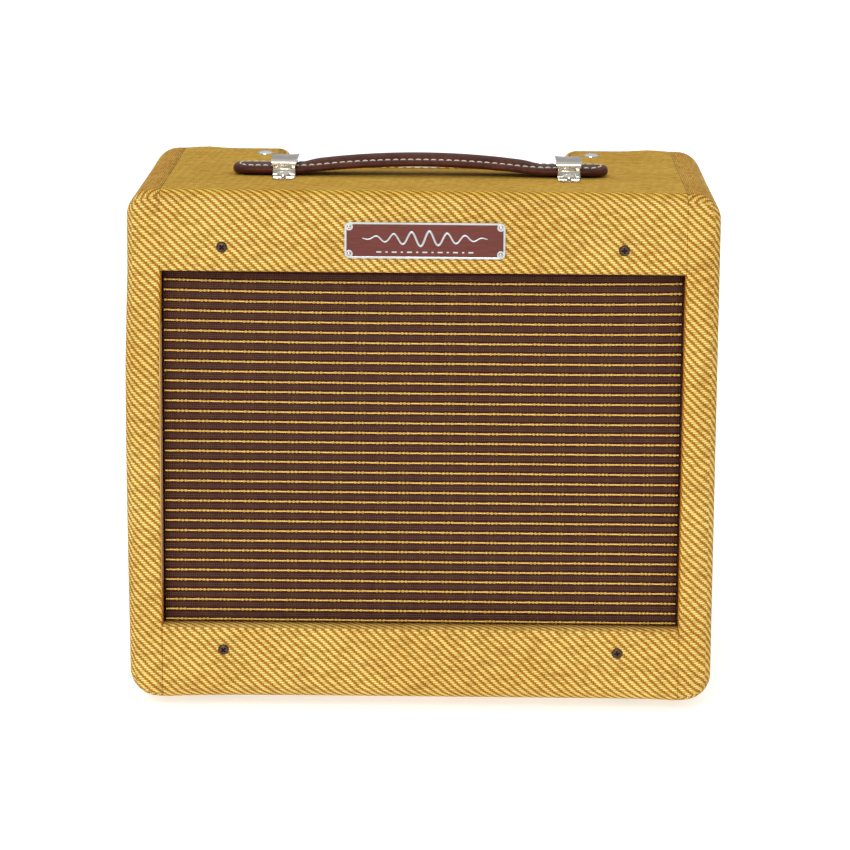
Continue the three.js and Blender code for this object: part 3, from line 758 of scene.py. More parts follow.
def coverLength(y, z, edge, far):
    # distance over the cloth, equal to the height while it runs down the front
    s = 1 if far > edge else -1
    cy, cz = front + rf, far - s * rf
    rear, rearZ = back - rb, far - s * rb
    if y <= cy and s * (z - cz) > 0:
        return cz + s * rf * math.atan2(s * (z - cz), cy - y)
    if y > cy and s * (z - rearZ) > -0.01 and y < rear:
        return cz + s * (rf * quarter + (y - cy))
    if y >= rear:
        turn = math.atan2(max(y - rear, 0), max(s * (z - rearZ), 0) + 1e-6)
        return cz + s * (rf * quarter + (rear - cy)) + s * (rb * turn + max(0, s * (rearZ - z)))
    if abs(z - edge) < 1.2 and y > front + 1.5:
        return edge - s * (y - front)
    return z


def bandCover(name, edge, far, s):
    profile = [Vector(p) for p in bandProfile(edge, far, s)]
    reach = seam - 0.06
    places = [0.25 - reach, 0.8 - reach] + [2.5 - reach + (2 * reach - 5) * i / 48 for i in range(49)]
    places = [-reach] + places + [reach - 0.8, reach - 0.25, reach]
    points = []
    for x in places:
        # the cloth dips where it meets the side's
        dip = 0.14 * max(0, 1 - (reach - abs(x)) / 0.8) ** 2
        for i, (y, z) in enumerate(profile):
            along = alongAt(profile, i)
            points.append((x, y + along.y * s * dip, z - along.x * s * dip + clothLift(x, y, z)))
    return sheetPiece(name, points, gridFaces(len(places), len(profile)), tweed, (0, 0, s), cabinet["cloth"])


def notchOutline(grow=0.0, steps=10):
    # the open path round the notch, from the back edge at the left to the back edge at the right
    shape = coverShape
    side, y, r = shape["notchSide"] + grow, front + shape["notchFront"] - grow, shape["notchCorner"]
    rise = shape["notchFlareStart"]
    right = [(side + shape["notchFlare"] * (1 - math.cos(t)), back - rise + rise * math.sin(t))
             for t in [quarter * (1 - i / steps) for i in range(steps + 1)]]
    right += [(side, y + r + (back - rise - y - r) * 0.5)]
    right += arcPoints(side - r, y + r, r, 0, -quarter, steps)
    return right + [(40, y), (0, y), (-40, y)] + [(-x, far) for x, far in reversed(right)]


def coverHeight(y):
    # height of the top cover at a distance from the front
    over = min(max(y - (back - rb), 0), rb)
    return top - rb + math.sqrt(rb * rb - over ** 2)


def upperCover():
    cover = bandCover("tweedUpperCover", openHigh, top, 1)
    path = notchOutline(2.0)
    x = path[0][0]
    outline = path + [(-x, back + 6), (x, back + 6)]
    cutAway(cover, outlinePiece("notchTool", outline, ceiling - 6, top + 6, tweed))
    layCloth(cover, lambda p, n: (p.x, coverLength(p.y, p.z, openHigh, top)))
    install(cover, "cabinet", "tweed", "tweed_upper")

    # the cloth that turns down into the notch
    path = [Vector(p) for p in notchOutline(0.0, 14)]
    points = []
    drops = [(2.0, 0.0), (1.24, 0.16), (0.59, 0.59), (0.16, 1.24), (0.0, 2.0), (0.0, 8.0), (0.0, 19.6)]
    for i, here in enumerate(path):
        along = alongAt(path, i)
        outward = Vector((-along.y, along.x))
        if outward.dot(here - Vector((0, back))) < 0:
            outward = -outward
        for out, down in drops:
            spot = here + outward * out
            height = min(coverHeight(here.y) - down, coverHeight(spot.y) - down * 0.6)
            points.append((spot.x, min(spot.y, back), max(height, ceiling + 0.5)))
    lining = meshPiece("tweedNotchLining", points, gridFaces(len(path), len(drops)), tweed, 70)
    first = next(face for face in lining.data.polygons if face.area > 1e-6)
    if first.normal.dot(Vector((0, back, top)) * mm - first.center) < 0:
        lining.data.flip_normals()
    thicken(lining, 0.8)
    layCloth(lining, lambda p, n: (p.x + p.y, p.z))
    install(lining, "cabinet", "tweed")
    flat = bandSheet(openHigh, top)


def lowerCover():
    cover = bandCover("tweedLowerCover", openLow, base, -1)
    for foot in ("front_left", "front_right", "rear_left", "rear_right"):
        spot = boxOf("foot_" + foot)[2]
        drill(cover, 2.5, base - 3, base + 4, spot.x, spot.y, 24, tweed)
    layCloth(cover, lambda p, n: (p.x, coverLength(p.y, p.z, openLow, base)))
    install(cover, "cabinet", "tweed", "tweed_lower")
    bandSheet(openLow, base)


def openPart(z):
    # 1 where the side cover turns into the opening, 0 where it meets the other covers
    return within01((min(z - openLow, openHigh - z) + 0.5) / 2.0)


def sideSwell(x, z):
    # the left side swells in the middle and draws in a little at its upper end
    part = within01((z - base) / (top - base))
    amount = coverShape["bow"] * (math.sin(math.pi * part ** 1.2) - within01((part - 0.65) / 0.3))
    return max(amount, -coverShape["drawIn"]) * (0.55 + 0.45 * within01((x - seam) / (half - seam)))


def sidePlace(p, n, sign):
    # a side cover's point on its flat cloth
    x, z, y = abs(p.x), p.z, p.y
    ax, high, low = half - corner, top - corner, base + corner
    v = z
    if x > ax - 0.01 and z > high:
        v = high + corner * math.atan2(z - high, max(x - ax, 1e-4))
    elif x > ax - 0.01 and z < low:
        v = low - corner * math.atan2(low - z, max(x - ax, 1e-4))
    elif abs(n.z) > 0.5 and z > high:
        v = high + corner * quarter + (ax - x)
    elif abs(n.z) > 0.5 and z < low:
        v = low - corner * quarter - (ax - x)
    inOpening = openLow - 1 < z < openHigh + 1
    if inOpening and x < seam + coverShape["roll"] + 0.1 and front + 0.2 < y < 0:
        return sign * (x - (y - front)), z
    if abs(n.y) > max(abs(n.x), abs(n.z)) * 1.02 and y < 0:
        return sign * x, z
    if y >= front + rf:
        level = abs(n.z) > 0.5
        outward = max(z - (top - rb), base + rb - z, 1e-4) if level else max(x - (half - rb), 1e-4)
        u = half - rf + rf * quarter + (min(y, back - rb) - front - rf)
        u += rb * math.atan2(max(y - (back - rb), 0), outward)
        if y > back - 0.5 and not level:
            u += max(0, half - rb - x)
    elif abs(n.z) > max(abs(n.x), abs(n.y)):
        u = half + 6 + (y - front - rf)
    elif x > half - rf:
        u = half - rf + rf * math.atan2(x - (half - rf), max(front + rf - y, 1e-4))
    else:
        u = x
    return sign * u, v


def sideCover(sign):
    # one piece of cloth over a side, turned round onto the front, the top, the bottom and the back
    shape = coverShape
    ax, tall = half - corner, top - base - 2 * corner
    line = [((seam, top), (0, 1)), ((ax, top), (0, 1))]
    for cz, fromAngle, first in ((top - corner, quarter, 1), (base + corner, 0, 0)):
        for a in [fromAngle - quarter * i / 10 for i in range(first, 11)]:
            c, s = math.cos(a), math.sin(a)
            line.append(((ax + corner * c, cz + corner * s), (c, s)))
        if first:
            line += [((half, top - corner - tall * i / 24), (1, 0)) for i in range(1, 24)]
    line.append(((seam, base), (0, -1)))
    turns = [quarter * i / 8 for i in range(9)]
    rings = [(front + rf * (1 - math.cos(a)), rf * (1 - math.sin(a))) for a in turns]
    rings += [(front + rf + (back - rb - front - rf) * k, 0) for k in (0.2, 0.4, 0.6, 0.8)]
    turns = [quarter * (1 - i / 6) for i in range(7)]
    rings += [(back - rb + rb * math.cos(a), rb * (1 - math.sin(a))) for a in turns]
    points = []
    for y, inset in rings:
        for (x, z), (nx, nz) in line:
            z -= nz * inset
            points.append((x - nx * inset, y, z + clothLift(sign * x, y, z) * abs(nz)))
    count = len(line)
    faces = gridFaces(len(rings), count)

    def addStrips(previous, columns, outside):
        for column in columns:
            here = list(range(len(points), len(points) + len(column)))
            points.extend(column)
            for a, b, c, d in zip(previous, previous[1:], here[1:], here):
                faces.append((a, b, c, d) if outside else (a, d, c, b))
            previous = here

    # the band on the front, its roll into the opening and its inner edge, then the edge turned onto the back
    firstRing = list(range(1, count - 1))
    lastRing = list(range((len(rings) - 1) * count + 1, len(rings) * count - 1))
    zs = [points[i][2] for i in firstRing]
    columns = []
    for a in [quarter * k / 5 for k in range(6)]:
        column = []
        for z in zs:
            r = shape["crease"] + (shape["roll"] - shape["crease"]) * openPart(z)
            x = seam - shape["proud"] * openPart(z) + r * (1 - math.sin(a))
            column.append((x, front + r * (1 - math.cos(a)), z))
        columns.append(column)
    for y in (front + 6, front + shape["turnIn"]):
        columns.append([(seam - shape["proud"] * openPart(z), y, z) for z in zs])
    addStrips(firstRing, columns, True)
    addStrips(lastRing, [[(seam, back, points[i][2]) for i in lastRing]], False)
    if sign < 0:
        points = [(-x - sideSwell(x, z) * min(1.0, (back - y) / 60), y, z) for x, y, z in points]
    side = "Right" if sign > 0 else "Left"
    cover = sheetPiece("tweedSide" + side, points, faces, tweedSide, (sign, 0, 0), cabinet["cloth"])
    layCloth(cover, lambda p, n: sidePlace(p, n, sign))
    install(cover, "cabinet", "tweed", "tweed_right" if sign > 0 else "tweed_left")


upperCover()
lowerCover()
sideCover(1)
sideCover(-1)
print("tweed covers laid")


def makeGrille():
    look = grilleLook
    low, high = lowHigh("grille_cloth")
    across, up = 60, 52
    points = [(low.x + (high.x - low.x) * j / across, low.y + 0.2, low.z + (high.z - low.z) * i / up)
              for i in range(up + 1) for j in range(across + 1)]
    cloth = sheetPiece("grilleCloth", points, gridFaces(up + 1, across + 1), grilleWeave, (0, -1, 0), 0.8)
    layCloth(cloth, lambda p, n: (p.x, p.z + sagAt(p.x, p.z)))
    install(cloth, "cabinet", "grille_cloth", "grille_cloth")
    # each thread: plain lengths and knotted lengths of three beads, in turn
    points, faces, knotted = [], [], []
    sides = 6
    stations = []
    x = low.x + 0.8
    while x < high.x - 0.8:
        stations.append(x)
        x += 0.46
    for row in range(look["count"]):
        level = look["first"] - row * look["pitch"]
        shift = dice.uniform(-0.7, 0.7) + row * 0.05
        faces += tubeFaces(len(stations), sides, len(points))
        for x in stations:
            part = ((x + shift) / look["group"]) % 1
            knotted.append(part < look["knots"])
            bead = 0.42 + 0.98 * abs(math.sin(3 * math.pi * part / look["knots"]))
            size = look["thread"] * (bead if knotted[-1] else 0.82)
            waver = 0.03 * math.sin(x * 0.9 + row) + 0.05 * math.sin(x * 0.12 + row * 2.1)
            z = level - sagAt(x, level) + waver
            for a in [2 * math.pi * k / sides for k in range(sides)]:
                points.append((x, low.y + 0.05 + size * 0.75 * math.cos(a), z + size * math.sin(a)))
    threads = meshPiece("grilleGoldThreads", points, faces, goldThread, 80)
    threads.data.materials.append(goldKnots)
    for face in threads.data.polygons:
        if knotted[min(face.vertices) // sides]:
            face.material_index = 1
    install(threads, "cabinet", "grille_cloth")


makeGrille()
print("grille cloth and threads made")


def barTool(length, width, depth, at, axis, turn):
    # one tapered bar that cuts half of a driver recess
    made = bmesh.new()
    for v in bmesh.ops.create_cube(made, size=1)["verts"]:
        narrow, thin = (0.45, 0.6) if v.co.z < 0 else (1.0, 1.0)
        v.co = Vector((v.co.x * length * narrow, v.co.y * width * thin, v.co.z * depth))
    mesh = bpy.data.meshes.new("bar")
    made.to_mesh(mesh)
    made.free()
    look = Vector(axis).to_track_quat("Z", "Y").to_matrix().to_4x4()
    spin = Matrix.Rotation(math.radians(turn), 4, "Z")
    mesh.transform(Matrix.Translation(Vector(at) * mm) @ look @ spin @ Matrix.Scale(mm, 4))
    return addObject("bar", mesh)


def crossRecess(screw, care, at, axis, turn, inside=None):
    for bar in (0, 90):
        tool = barTool(care["cross"], care["slot"], 2 * care["deep"], at, axis, turn + bar)
        if inside:
            tool.data.materials.append(inside)
        cutAway(screw, tool)


frontScrews = {"radius": 3.25, "dome": 1.45, "cross": 5.0, "slot": 1.25, "deep": 1.3}
chassisScrews = {"radius": 5.0, "cross": 4.2, "slot": 0.9, "deep": 0.7}
loopScrews = {"radius": 3.95, "cross": 3.9, "slot": 0.8, "deep": 0.85}
frontTurns = {"left": 45, "right": 6}
chassisTurns = {"left": 20, "right": 65}


def makeFrontScrews():
    care = frontScrews
    r, face = care["radius"], front - care["dome"]
    for row in ("upper", "lower"):
        for side, turn in frontTurns.items():
            name = f"front_screw_{row}_{side}"
            low, high, middle = boxOf(name)
            profile = [(0, face), (1.2, face + 0.05), (2.3, face + 0.3), (3.0, front - 0.55)]
            profile += [(r, front - 0.05), (r * 0.94, front + 0.4), (2.1, front + 0.5)]
            profile += [(2.1, high.y), (0, high.y)]
            screw = lathe("frontScrew", profile, (middle.x, 0, middle.z), blackOxide, "y", 40, 0.15)
            # the recess faces take the near-black painted shade
            screw.data.materials.append(paintedRecessShade)
            crossRecess(screw, care, (middle.x, face, middle.z), (0, -1, 0), turn, paintedRecessShade)
            screw.name = f"frontScrew{row.title()}{side.title()}"
            install(screw, "cabinet", "black_screw", name)


def makeTopScrews():
    care = chassisScrews
    for side, turn in chassisTurns.items():
        low, high, middle = boxOf("chassis_screw_" + side)
        r, seat = care["radius"], top + 0.3
        profile = [(0, low.z), (1.9, low.z), (1.9, seat), (r, seat), (r, seat + 0.35)]
        profile += domeLine(r, seat + 0.35, high.z - seat - 0.35, (0.25, 0.5, 0.75, 1.0, 1.25))
        profile.append((0, high.z))
        at = (middle.x, middle.y, 0)
        dome = lathe("chassisScrewDome" + side.title(), profile, at, chrome, "z", 48, 0.1)
        crossRecess(dome, care, (middle.x, middle.y, high.z), (0, 0, 1), turn)
        install(dome, "cabinet", "chrome", "chassis_screw_" + side)
    care = loopScrews
    for side in ("left", "right"):
        for end in ("front", "rear"):
            name = f"loop_screw_{side}_{end}"
            low, high, middle = boxOf(name)
            r, foot = care["radius"], top + 1.75
            profile = [(0, low.z), (1.35, low.z), (1.35, foot), (r - 0.05, foot), (r, foot + 0.35)]
            profile += domeLine(r, foot + 0.35, high.z - foot - 0.35, (0.3, 0.6, 0.9, 1.2, 1.4))
            profile.append((0, high.z))
            at = (middle.x, middle.y, 0)
            screw = lathe(f"loopScrew{side.title()}{end.title()}", profile, at, nickel, "z", 40, 0.1)
            crossRecess(screw, care, (middle.x, middle.y, high.z), (0, 0, 1), dice.uniform(0, 90))
            install(screw, "cabinet", "nickel", name)


makeFrontScrews()
makeTopScrews()
print("screws made")


# the handle: leather strap, its stitching and two nickel loops
strap = {
    "low": 1.0,        # underside at the ends, above the cabinet
    "rise": 4.8,       # how much higher the underside is in the middle
    "reach": 72,       # where it begins to rise
    "thick": 5.3,
    "edgeLoss": 0.7,   # how much thinner the sewn edge is beside the padding
    "pad": 1.8,        # padding along the grip, and a little more at its crown
    "crown": 0.8,
    "padStart": 74,
    "padRun": 14,
    "padHalf": 8.3,
    "halfWidth": 13,
    "round": 11,
    "tip": 2.4,
    "stitchInset": 4.3,
    "stitchPitch": 4.5,
    "stitchLength": 3.6,
    "stitchThick": 0.44,
    "stitchTurn": 6.5,
}
strapLow, strapHigh, strapMid = boxOf("handle_strap")
strapReach = (strapHigh.x - strapLow.x) / 2


def strapSection(x):
    # underside, height of the sewn edge, padding above it and half width, at a distance from the middle
    t = max(0.0, 1 - (x / strap["reach"]) ** 2)
    k = within01((strap["padStart"] - abs(x)) / strap["padRun"])
    k = k * k * (3 - 2 * k)
    edge = strap["thick"] - strap["edgeLoss"] * k
    pad = (strap["pad"] + strap["edgeLoss"]) * k + strap["crown"] * t
    wide = strap["halfWidth"]
    tip = strapReach - abs(x)
    if tip < strap["round"]:
        wide += strap["round"] * (math.sqrt(max(1 - (1 - tip / strap["round"]) ** 2, 0)) - 1)
    under = top + strap["low"] + strap["rise"] * t
    if tip < strap["tip"]:
        thin = edge * (1 - math.sqrt(max(1 - (1 - tip / strap["tip"]) ** 2, 0.0)))
        under += thin / 2
        edge -= thin
    return under, edge, pad, max(wide, 0.2)


def strapTop(x, y):
    # height of the leather's upper face
    under, edge, pad, wide = strapSection(x)
    part = min(abs(y) / wide, 0.999)
    side = edge / 2 * (1 + (1 - part ** 4.5) ** (1 / 2.2))
    swell = max(0.0, 1 - (y / strap["padHalf"]) ** 2)
    return under + side + pad * swell ** 0.9 * (1 - 0.1 * swell)


def makeStrap():
    tips = [strapReach - d for d in (0.02, 0.12, 0.35, 0.7, 1.2)]
    inner = [strapReach * (-1 + 2 * i / 110) for i in range(111)]
    stations = sorted([x for x in inner if abs(x) < strapReach - 1.5] + tips + [-x for x in tips])
    across = [math.sin(quarter * (-1 + 2 * k / 26)) for k in range(27)]
    points = []
    for x in stations:
        under, edge, pad, wide = strapSection(x)
        upper = [(wide * k, strapTop(x, wide * k)) for k in across]
        lower = [(wide * k, under + edge / 2 * (1 - (1 - abs(k) ** 5) ** (1 / 2.4)))
                 for k in reversed(across[1:-1])]
        points += [(strapMid.x + x, strapMid.y + y, z) for y, z in upper + lower]
    body = meshPiece("handleStrap", points, tubeFaces(len(stations), 2 * len(across) - 2), leather, 70)
    # a shallow trough pressed in by the stitching
    for v in body.data.vertices:
        x, y = v.co.x / mm - strapMid.x, v.co.y / mm - strapMid.y
        under, edge, pad, wide = strapSection(x)
        if v.co.z / mm > under + edge * 0.6:
            away = abs(y) - (strap["halfWidth"] - strap["stitchInset"])
            v.co.z -= 0.3 * mm * math.exp(-away ** 2)
    install(body, "handle", "leather", "handle_strap")


def stitchPath():
    # the sewing line: down one side, round the end and back up the other
    inset, r = strap["stitchInset"], strap["stitchTurn"]
    side, reach = strap["halfWidth"] - inset, strapReach - inset
    line, last = [], Vector((r - reach, -side))
    for turn, (sx, sy) in enumerate(((1, -1), (1, 1), (-1, 1), (-1, -1))):
        arc = arcPoints(sx * (reach - r), sy * (side - r), r, (turn - 1) * quarter, turn * quarter, 14)
        arc = [Vector(p) for p in arc]
        steps = max(2, int((arc[0] - last).length / 0.5))
        line += [last.lerp(arc[0], i / steps) for i in range(steps)] + arc[:-1]
        last = arc[-1]
    return line


def makeStitches():
    line = stitchPath()
    lengths = [0.0]
    for a, b in zip(line, line[1:] + line[:1]):
        lengths.append(lengths[-1] + (b - a).length)
    total = lengths[-1]

    def at(s):
        s %= total
        i = next((k for k in range(len(line)) if lengths[k + 1] >= s), 0)
        part = (s - lengths[i]) / max(lengths[i + 1] - lengths[i], 1e-6)
        return line[i].lerp(line[(i + 1) % len(line)], part)

    count = round(total / strap["stitchPitch"])
    sides, rings = 8, 7
    points, faces = [], []
    for n in range(count):
        faces += tubeFaces(rings, sides, len(points))
        middle = n * total / count + dice.uniform(-0.12, 0.12)
        slant = dice.uniform(-0.12, 0.12)
        for part in [-1 + 2 * i / (rings - 1) for i in range(rings)]:
            place = middle + part * strap["stitchLength"] / 2
            spot = at(place)
            along = (at(place + 0.2) - spot).normalized()
            across = Vector((-along.y, along.x))
            spot = spot + across * slant * part
            size = strap["stitchThick"] * math.sqrt(max(1 - abs(part) ** 3.0, 0.03))
            height = strapTop(spot.x, spot.y) - 0.24 + 0.3 * (1 - part ** 2)
            for a in [2 * math.pi * k / sides for k in range(sides)]:
                flat = spot + across * size * 1.15 * math.cos(a)
                points.append((strapMid.x + flat.x, strapMid.y + flat.y, height + size * math.sin(a)))
    install(meshPiece("handleStitching", points, faces, stitchThread, 80), "handle", "leather")


loop = {"plate": 7.75, "waist": 6.5, "foot": 6.6, "metal": 1.1, "rise": 9.2, "wall": 14.9, "reach": 30.0}


def makeLoop(side):
    middle = boxOf("handle_loop_" + side)[2]
    x, y, ground = middle.x, middle.y, top + 0.35
    rise, wall = loop["rise"], loop["wall"]
    # centre line of the metal in (y, z): foot, wall, bend and plate, and the same again the other way
    line = [(d - loop["reach"], 0.0) for d in (0.0, 0.35, 1.0, 2.0, 3.5, 5.0, 6.6, 9.0, 12.0)]
    line += [(-wall - 1.6 + 1.6 * math.sin(t), 1.6 - 1.6 * math.cos(t)) for t in (0, 0.5, 1.0, 1.4)]
    line += [(-wall + 0.1 + 0.5 * math.sin(math.pi * k), 1.9 + (rise - 4.2) * k)
             for k in (0.1, 0.3, 0.5, 0.7, 0.9)]
    line += [(-wall + 1.7 - 1.7 * math.cos(t), rise - 1.8 + 1.7 * math.sin(t))
             for t in (0.2, 0.55, 0.9, 1.25, 1.5)]
    line += [(-wall + 2.4, rise), (-9.0, rise + 0.1), (-4.5, rise + 0.25), (0, rise + 0.3)]
    line += [(-py, pz) for py, pz in reversed(line[:-1])]
    across = [-1, -0.86, -0.5, 0, 0.5, 0.86, 1]
    points = []
    for py, pz in line:
        fromEnd = loop["reach"] - abs(py)
        if pz > rise - 1.0:
            wide = loop["plate"]
        elif pz > 1.0:
            k = (pz - 1.0) / (rise - 2.0)
            wide = loop["waist"] + (loop["plate"] - loop["waist"]) * k ** 5 + 0.35 * (1 - k) ** 4
        else:
            r = loop["foot"]
            wide = r if fromEnd > r else math.sqrt(max(r * r - (r - fromEnd) ** 2, 0.02))
        for part in across:
            # the plate's front and back corners lift a little, like pressed ears
            ear = 2.5 * max(0, abs(part) - 0.8) if pz > rise - 0.2 and 9 < abs(py) < 14 else 0
            crown = math.copysign(0.35 * part ** 2, py) if 2.2 < pz < rise - 2 else 0
            points.append((x + wide * part, y + py + crown, ground + loop["metal"] / 2 + pz - 0.55 + ear))
    name = "handleLoop" + side.title()
    grid = gridFaces(len(line), len(across))
    body = sheetPiece(name, points, grid, nickel, (0, 0, 1), loop["metal"], 50, 0)
    soften = body.modifiers.new("soft", "BEVEL")
    soften.width = 0.22 * mm
    soften.segments = 2
    soften.limit_method = "ANGLE"
    soften.angle_limit = math.radians(50)
    rivet = [(0, 0.0), (1.8, 0.0), (1.8, 0.25), (1.4, 0.6), (0.8, 0.8), (0, 0.9)]
    rivet = [(r, h + ground + rise + 0.3) for r, h in rivet]
    body = joined(name, [body, lathe("stud", rivet, (x, y, 0), nickel, "z", 32, 0.15)])
    install(body, "cabinet", "nickel", "handle_loop_" + side)


makeStrap()
makeStitches()
makeLoop("left")
makeLoop("right")
print("handle made")

# the badge carries a plain ornament
badge = {
    "rim": 1.15,
    "corner": 3.0,
    "pad": 2.25,
    "pin": 1.35,
    "pinX": 43.6,
    "pinZ": 7.85,
    "waveReach": 36,
    "waveHeight": 4.6,
    "waves": 7,
    "dashes": 13,
}


def makeBadge():
    # plate, raised silver rim, enamel field, a wave, a row of dashes and four pins
    low, high, middle = boxOf("badge_plate")
    cx, cz, face = middle.x, middle.z, front - 1.9
    enamel, tree = newTree("badgeEnamel", roughness=0.6, Specular_IOR_Level=0.2)
    brushed = noise(tree, objectPlace(tree, (0.08, 1, 1)), 1500, 3)
    finished(enamel, ramp(tree, brushed, [(0.3, tint(101, 51, 44)), (0.7, tint(112, 60, 53))]), brushed, 0.02)
    silver = metalMaterial("badgeSilver", tint(216, 219, 222), 0.38, 0.06, (0.1, 1, 1))
    rim, ease = badge["rim"], badge["corner"]
    outer = roundedOutline(low.x, high.x, low.z, high.z, ease)
    inner = roundedOutline(low.x + rim, high.x - rim, low.z + rim, high.z - rim, ease - rim)
    frameRim = outlinePiece("frameRim", outer, face, face + 0.6, silver, 0.0, "xz")
    cutAway(frameRim, outlinePiece("inside", inner, face - 2, face + 3, silver, 0.0, "xz"))
    pieces = [outlinePiece("plate", outer, face + 0.45, front - 0.3, silver, 0.15, "xz"), frameRim,
              outlinePiece("field", inner, face + 0.25, face + 0.5, enamel, 0.0, "xz")]
    # the wave swells and dies away, like a plucked string
    count = 220
    parts = [-1 + 2 * i / count for i in range(count + 1)]
    wave = [Vector((cx + badge["waveReach"] * s, cz + 1.2 + (1 - abs(s)) ** 0.8 * badge["waveHeight"]
                    * math.sin(s * math.pi * badge["waves"]))) for s in parts]
    edges = []
    for side in (1, -1):
        for i, (here, s) in enumerate(zip(wave, parts)):
            along = alongAt(wave, i)
            spot = here + Vector((-along.y, along.x)) * (0.22 + 0.42 * (1 - abs(s)) ** 0.5) * side
            edges.append((spot.x, face + 0.12, spot.y))
    pieces.append(sheetPiece("ribbon", edges, gridFaces(2, count + 1), silver, (0, -1, 0), 0.16))
    for i in range(badge["dashes"]):
        x = cx + (i - 6) * 4.4
        size = 1.5 if i % 2 == 0 else 0.7
        mark = roundedOutline(x - size, x + size, cz - 7.1, cz - 6.3, 0.35, 4)
        pieces.append(outlinePiece("mark", mark, face + 0.12, face + 0.3, silver, 0.0, "xz"))
    wide, thin = badge["pad"], badge["pin"]
    pad = [(0, -0.02), (wide - 0.15, -0.02), (wide, 0.12), (wide, 0.5), (0, 0.5)]
    head = low.y - face
    pin = [(0, head)] + [(thin * math.sin(t), head * math.cos(t)) for t in (0.4, 0.8, 1.15, 1.45)]
    pin += [(thin, 0.2), (0, 0.2)]
    for sx, sz in corners:
        at = (cx + sx * badge["pinX"], face, cz + sz * badge["pinZ"])
        pieces.append(lathe("pad", pad, at, silver, "y", 32, 0.08))
        pieces.append(lathe("pin", pin, at, nickel, "y", 28, 0.0))
    install(joined("badgePlateFine", pieces), "cabinet", "badge", "badge_plate")


makeBadge()
print("badge made")

# bare boards and two metal parts keep their shapes and take a finish
bareNodes = {
    pineAlong: ("top_board", "bottom_board", "upper_front_panel", "lower_front_panel", "baffle_board"),
    pineUp: ("side_board_left", "side_board_right", "rear_batten_left", "rear_batten_right"),
    chrome: ("chassis",),
    steel: ("volume_shaft",),
}
for material, names in bareNodes.items():
    for name in names:
        nodes[name].data.materials.clear()
        nodes[name].data.materials.append(material)

# the two back panels
backCare = {
    "ease": 2.2,
    "screwX": 144.8,
    "upper": (238, 274),
    "lower": (42, 106),
    "innerX": 60,
    "innerDrop": 38,
    "cross": 3.4,
    "slot": 0.75,
    "deep": 0.75,
}


def makeBackPanel(which):
    # a covered board with screws in cup washers
    low, high, middle = boxOf(which + "_back_panel")
    made = boxPiece("panel", low, high, tweed, backCare["ease"])
    layCloth(made, lambda p, n: (p.x if abs(n.x) < 0.7 else p.x + p.y, p.z if abs(n.z) < 0.7 else p.z + p.y))
    made.name = which + "BackPanelCovered"
    install(made, "cabinet", "tweed", which + "_back_panel")
    places = [(side * backCare["screwX"], z) for side in ends for z in backCare[which]]
    if which == "lower":
        places += [(side * backCare["innerX"], middle.z - backCare["innerDrop"]) for side in ends]
    y = high.y
    cup = ((0, 0.0), (2.2, 0.0), (3.2, -1.5), (5.6, 0.0), (5.6, 0.3), (0, 0.3))
    cup = [(r, y + 0.15 - h) for r, h in cup]
    head = [(0, y - 0.2), (2.9, y - 0.2), (2.9, y + 0.9)] + domeLine(2.9, y + 0.9, 0.6, (0.4, 0.8, 1.2))
    head.append((0, y + 1.55))
    pieces = []
    for x, z in places:
        pieces.append(lathe("cup", cup, (x, 0, z), nickel, "y", 32, 0.2))
        screw = lathe("head", head, (x, 0, z), nickel, "y", 32, 0.1)
        crossRecess(screw, backCare, (x, y + 1.5, z), (0, 1, 0), dice.uniform(0, 90))
        pieces.append(screw)
    install(joined(which + "BackPanelScrews", pieces), "cabinet", "nickel")


makeBackPanel("upper")
makeBackPanel("lower")
print("back panels covered")

# the control panel: dial, knob, jacks, pilot lamp and fuse
panelTop = lowHigh("chassis")[1].z
dial = {"radius": 12.4, "length": 1.8, "halfWidth": 0.24, "from": 150, "to": -150, "marks": 12}


def makeNut(x, y, low, high, across, turn):
    points = [math.radians(60 * k + turn) for k in range(6)]
    r = across / 2 / math.cos(math.pi / 6)
    hexagon = [(x + r * math.cos(a), y + r * math.sin(a)) for a in points]
    nut = outlinePiece("nut", hexagon, low, high, nickel, 0.25)
    drill(nut, 4.55, low - 2, high + 2, x, y, 32, nickel)
    return nut


def makeDial():
    # marks round the knob, the first and last ones longer, with a dot between neighbours
    centre = boxOf("volume_shaft")[2]
    x, y, low, high, r = centre.x, centre.y, panelTop + 0.03, panelTop + 0.09, dial["radius"]
    last = dial["marks"] - 1
    step = math.radians(dial["to"] - dial["from"]) / last
    pieces = []
    for n in range(dial["marks"]):
        angle = math.radians(dial["from"]) + step * n
        away = Vector((math.sin(angle), -math.cos(angle)))
        aside = Vector((-away.y, away.x)) * dial["halfWidth"]
        long = 1.0 if n in (0, last) else 0.0
        near, far = away * (r - long), away * (r + dial["length"] + long)
        outline = [(x + p.x, y + p.y) for p in (near - aside, far - aside, far + aside, near + aside)]
        pieces.append(outlinePiece("mark", outline, low, high, printInk))
        if n < last:
            between = angle + step / 2
            dot = (x + r * math.sin(between), y - r * math.cos(between), 0)
            pieces.append(lathe("dot", rod(0.28, low, high), dot, printInk, "z", 12, 0))
    install(joined("dialMarks", pieces), "cabinet", "chrome")


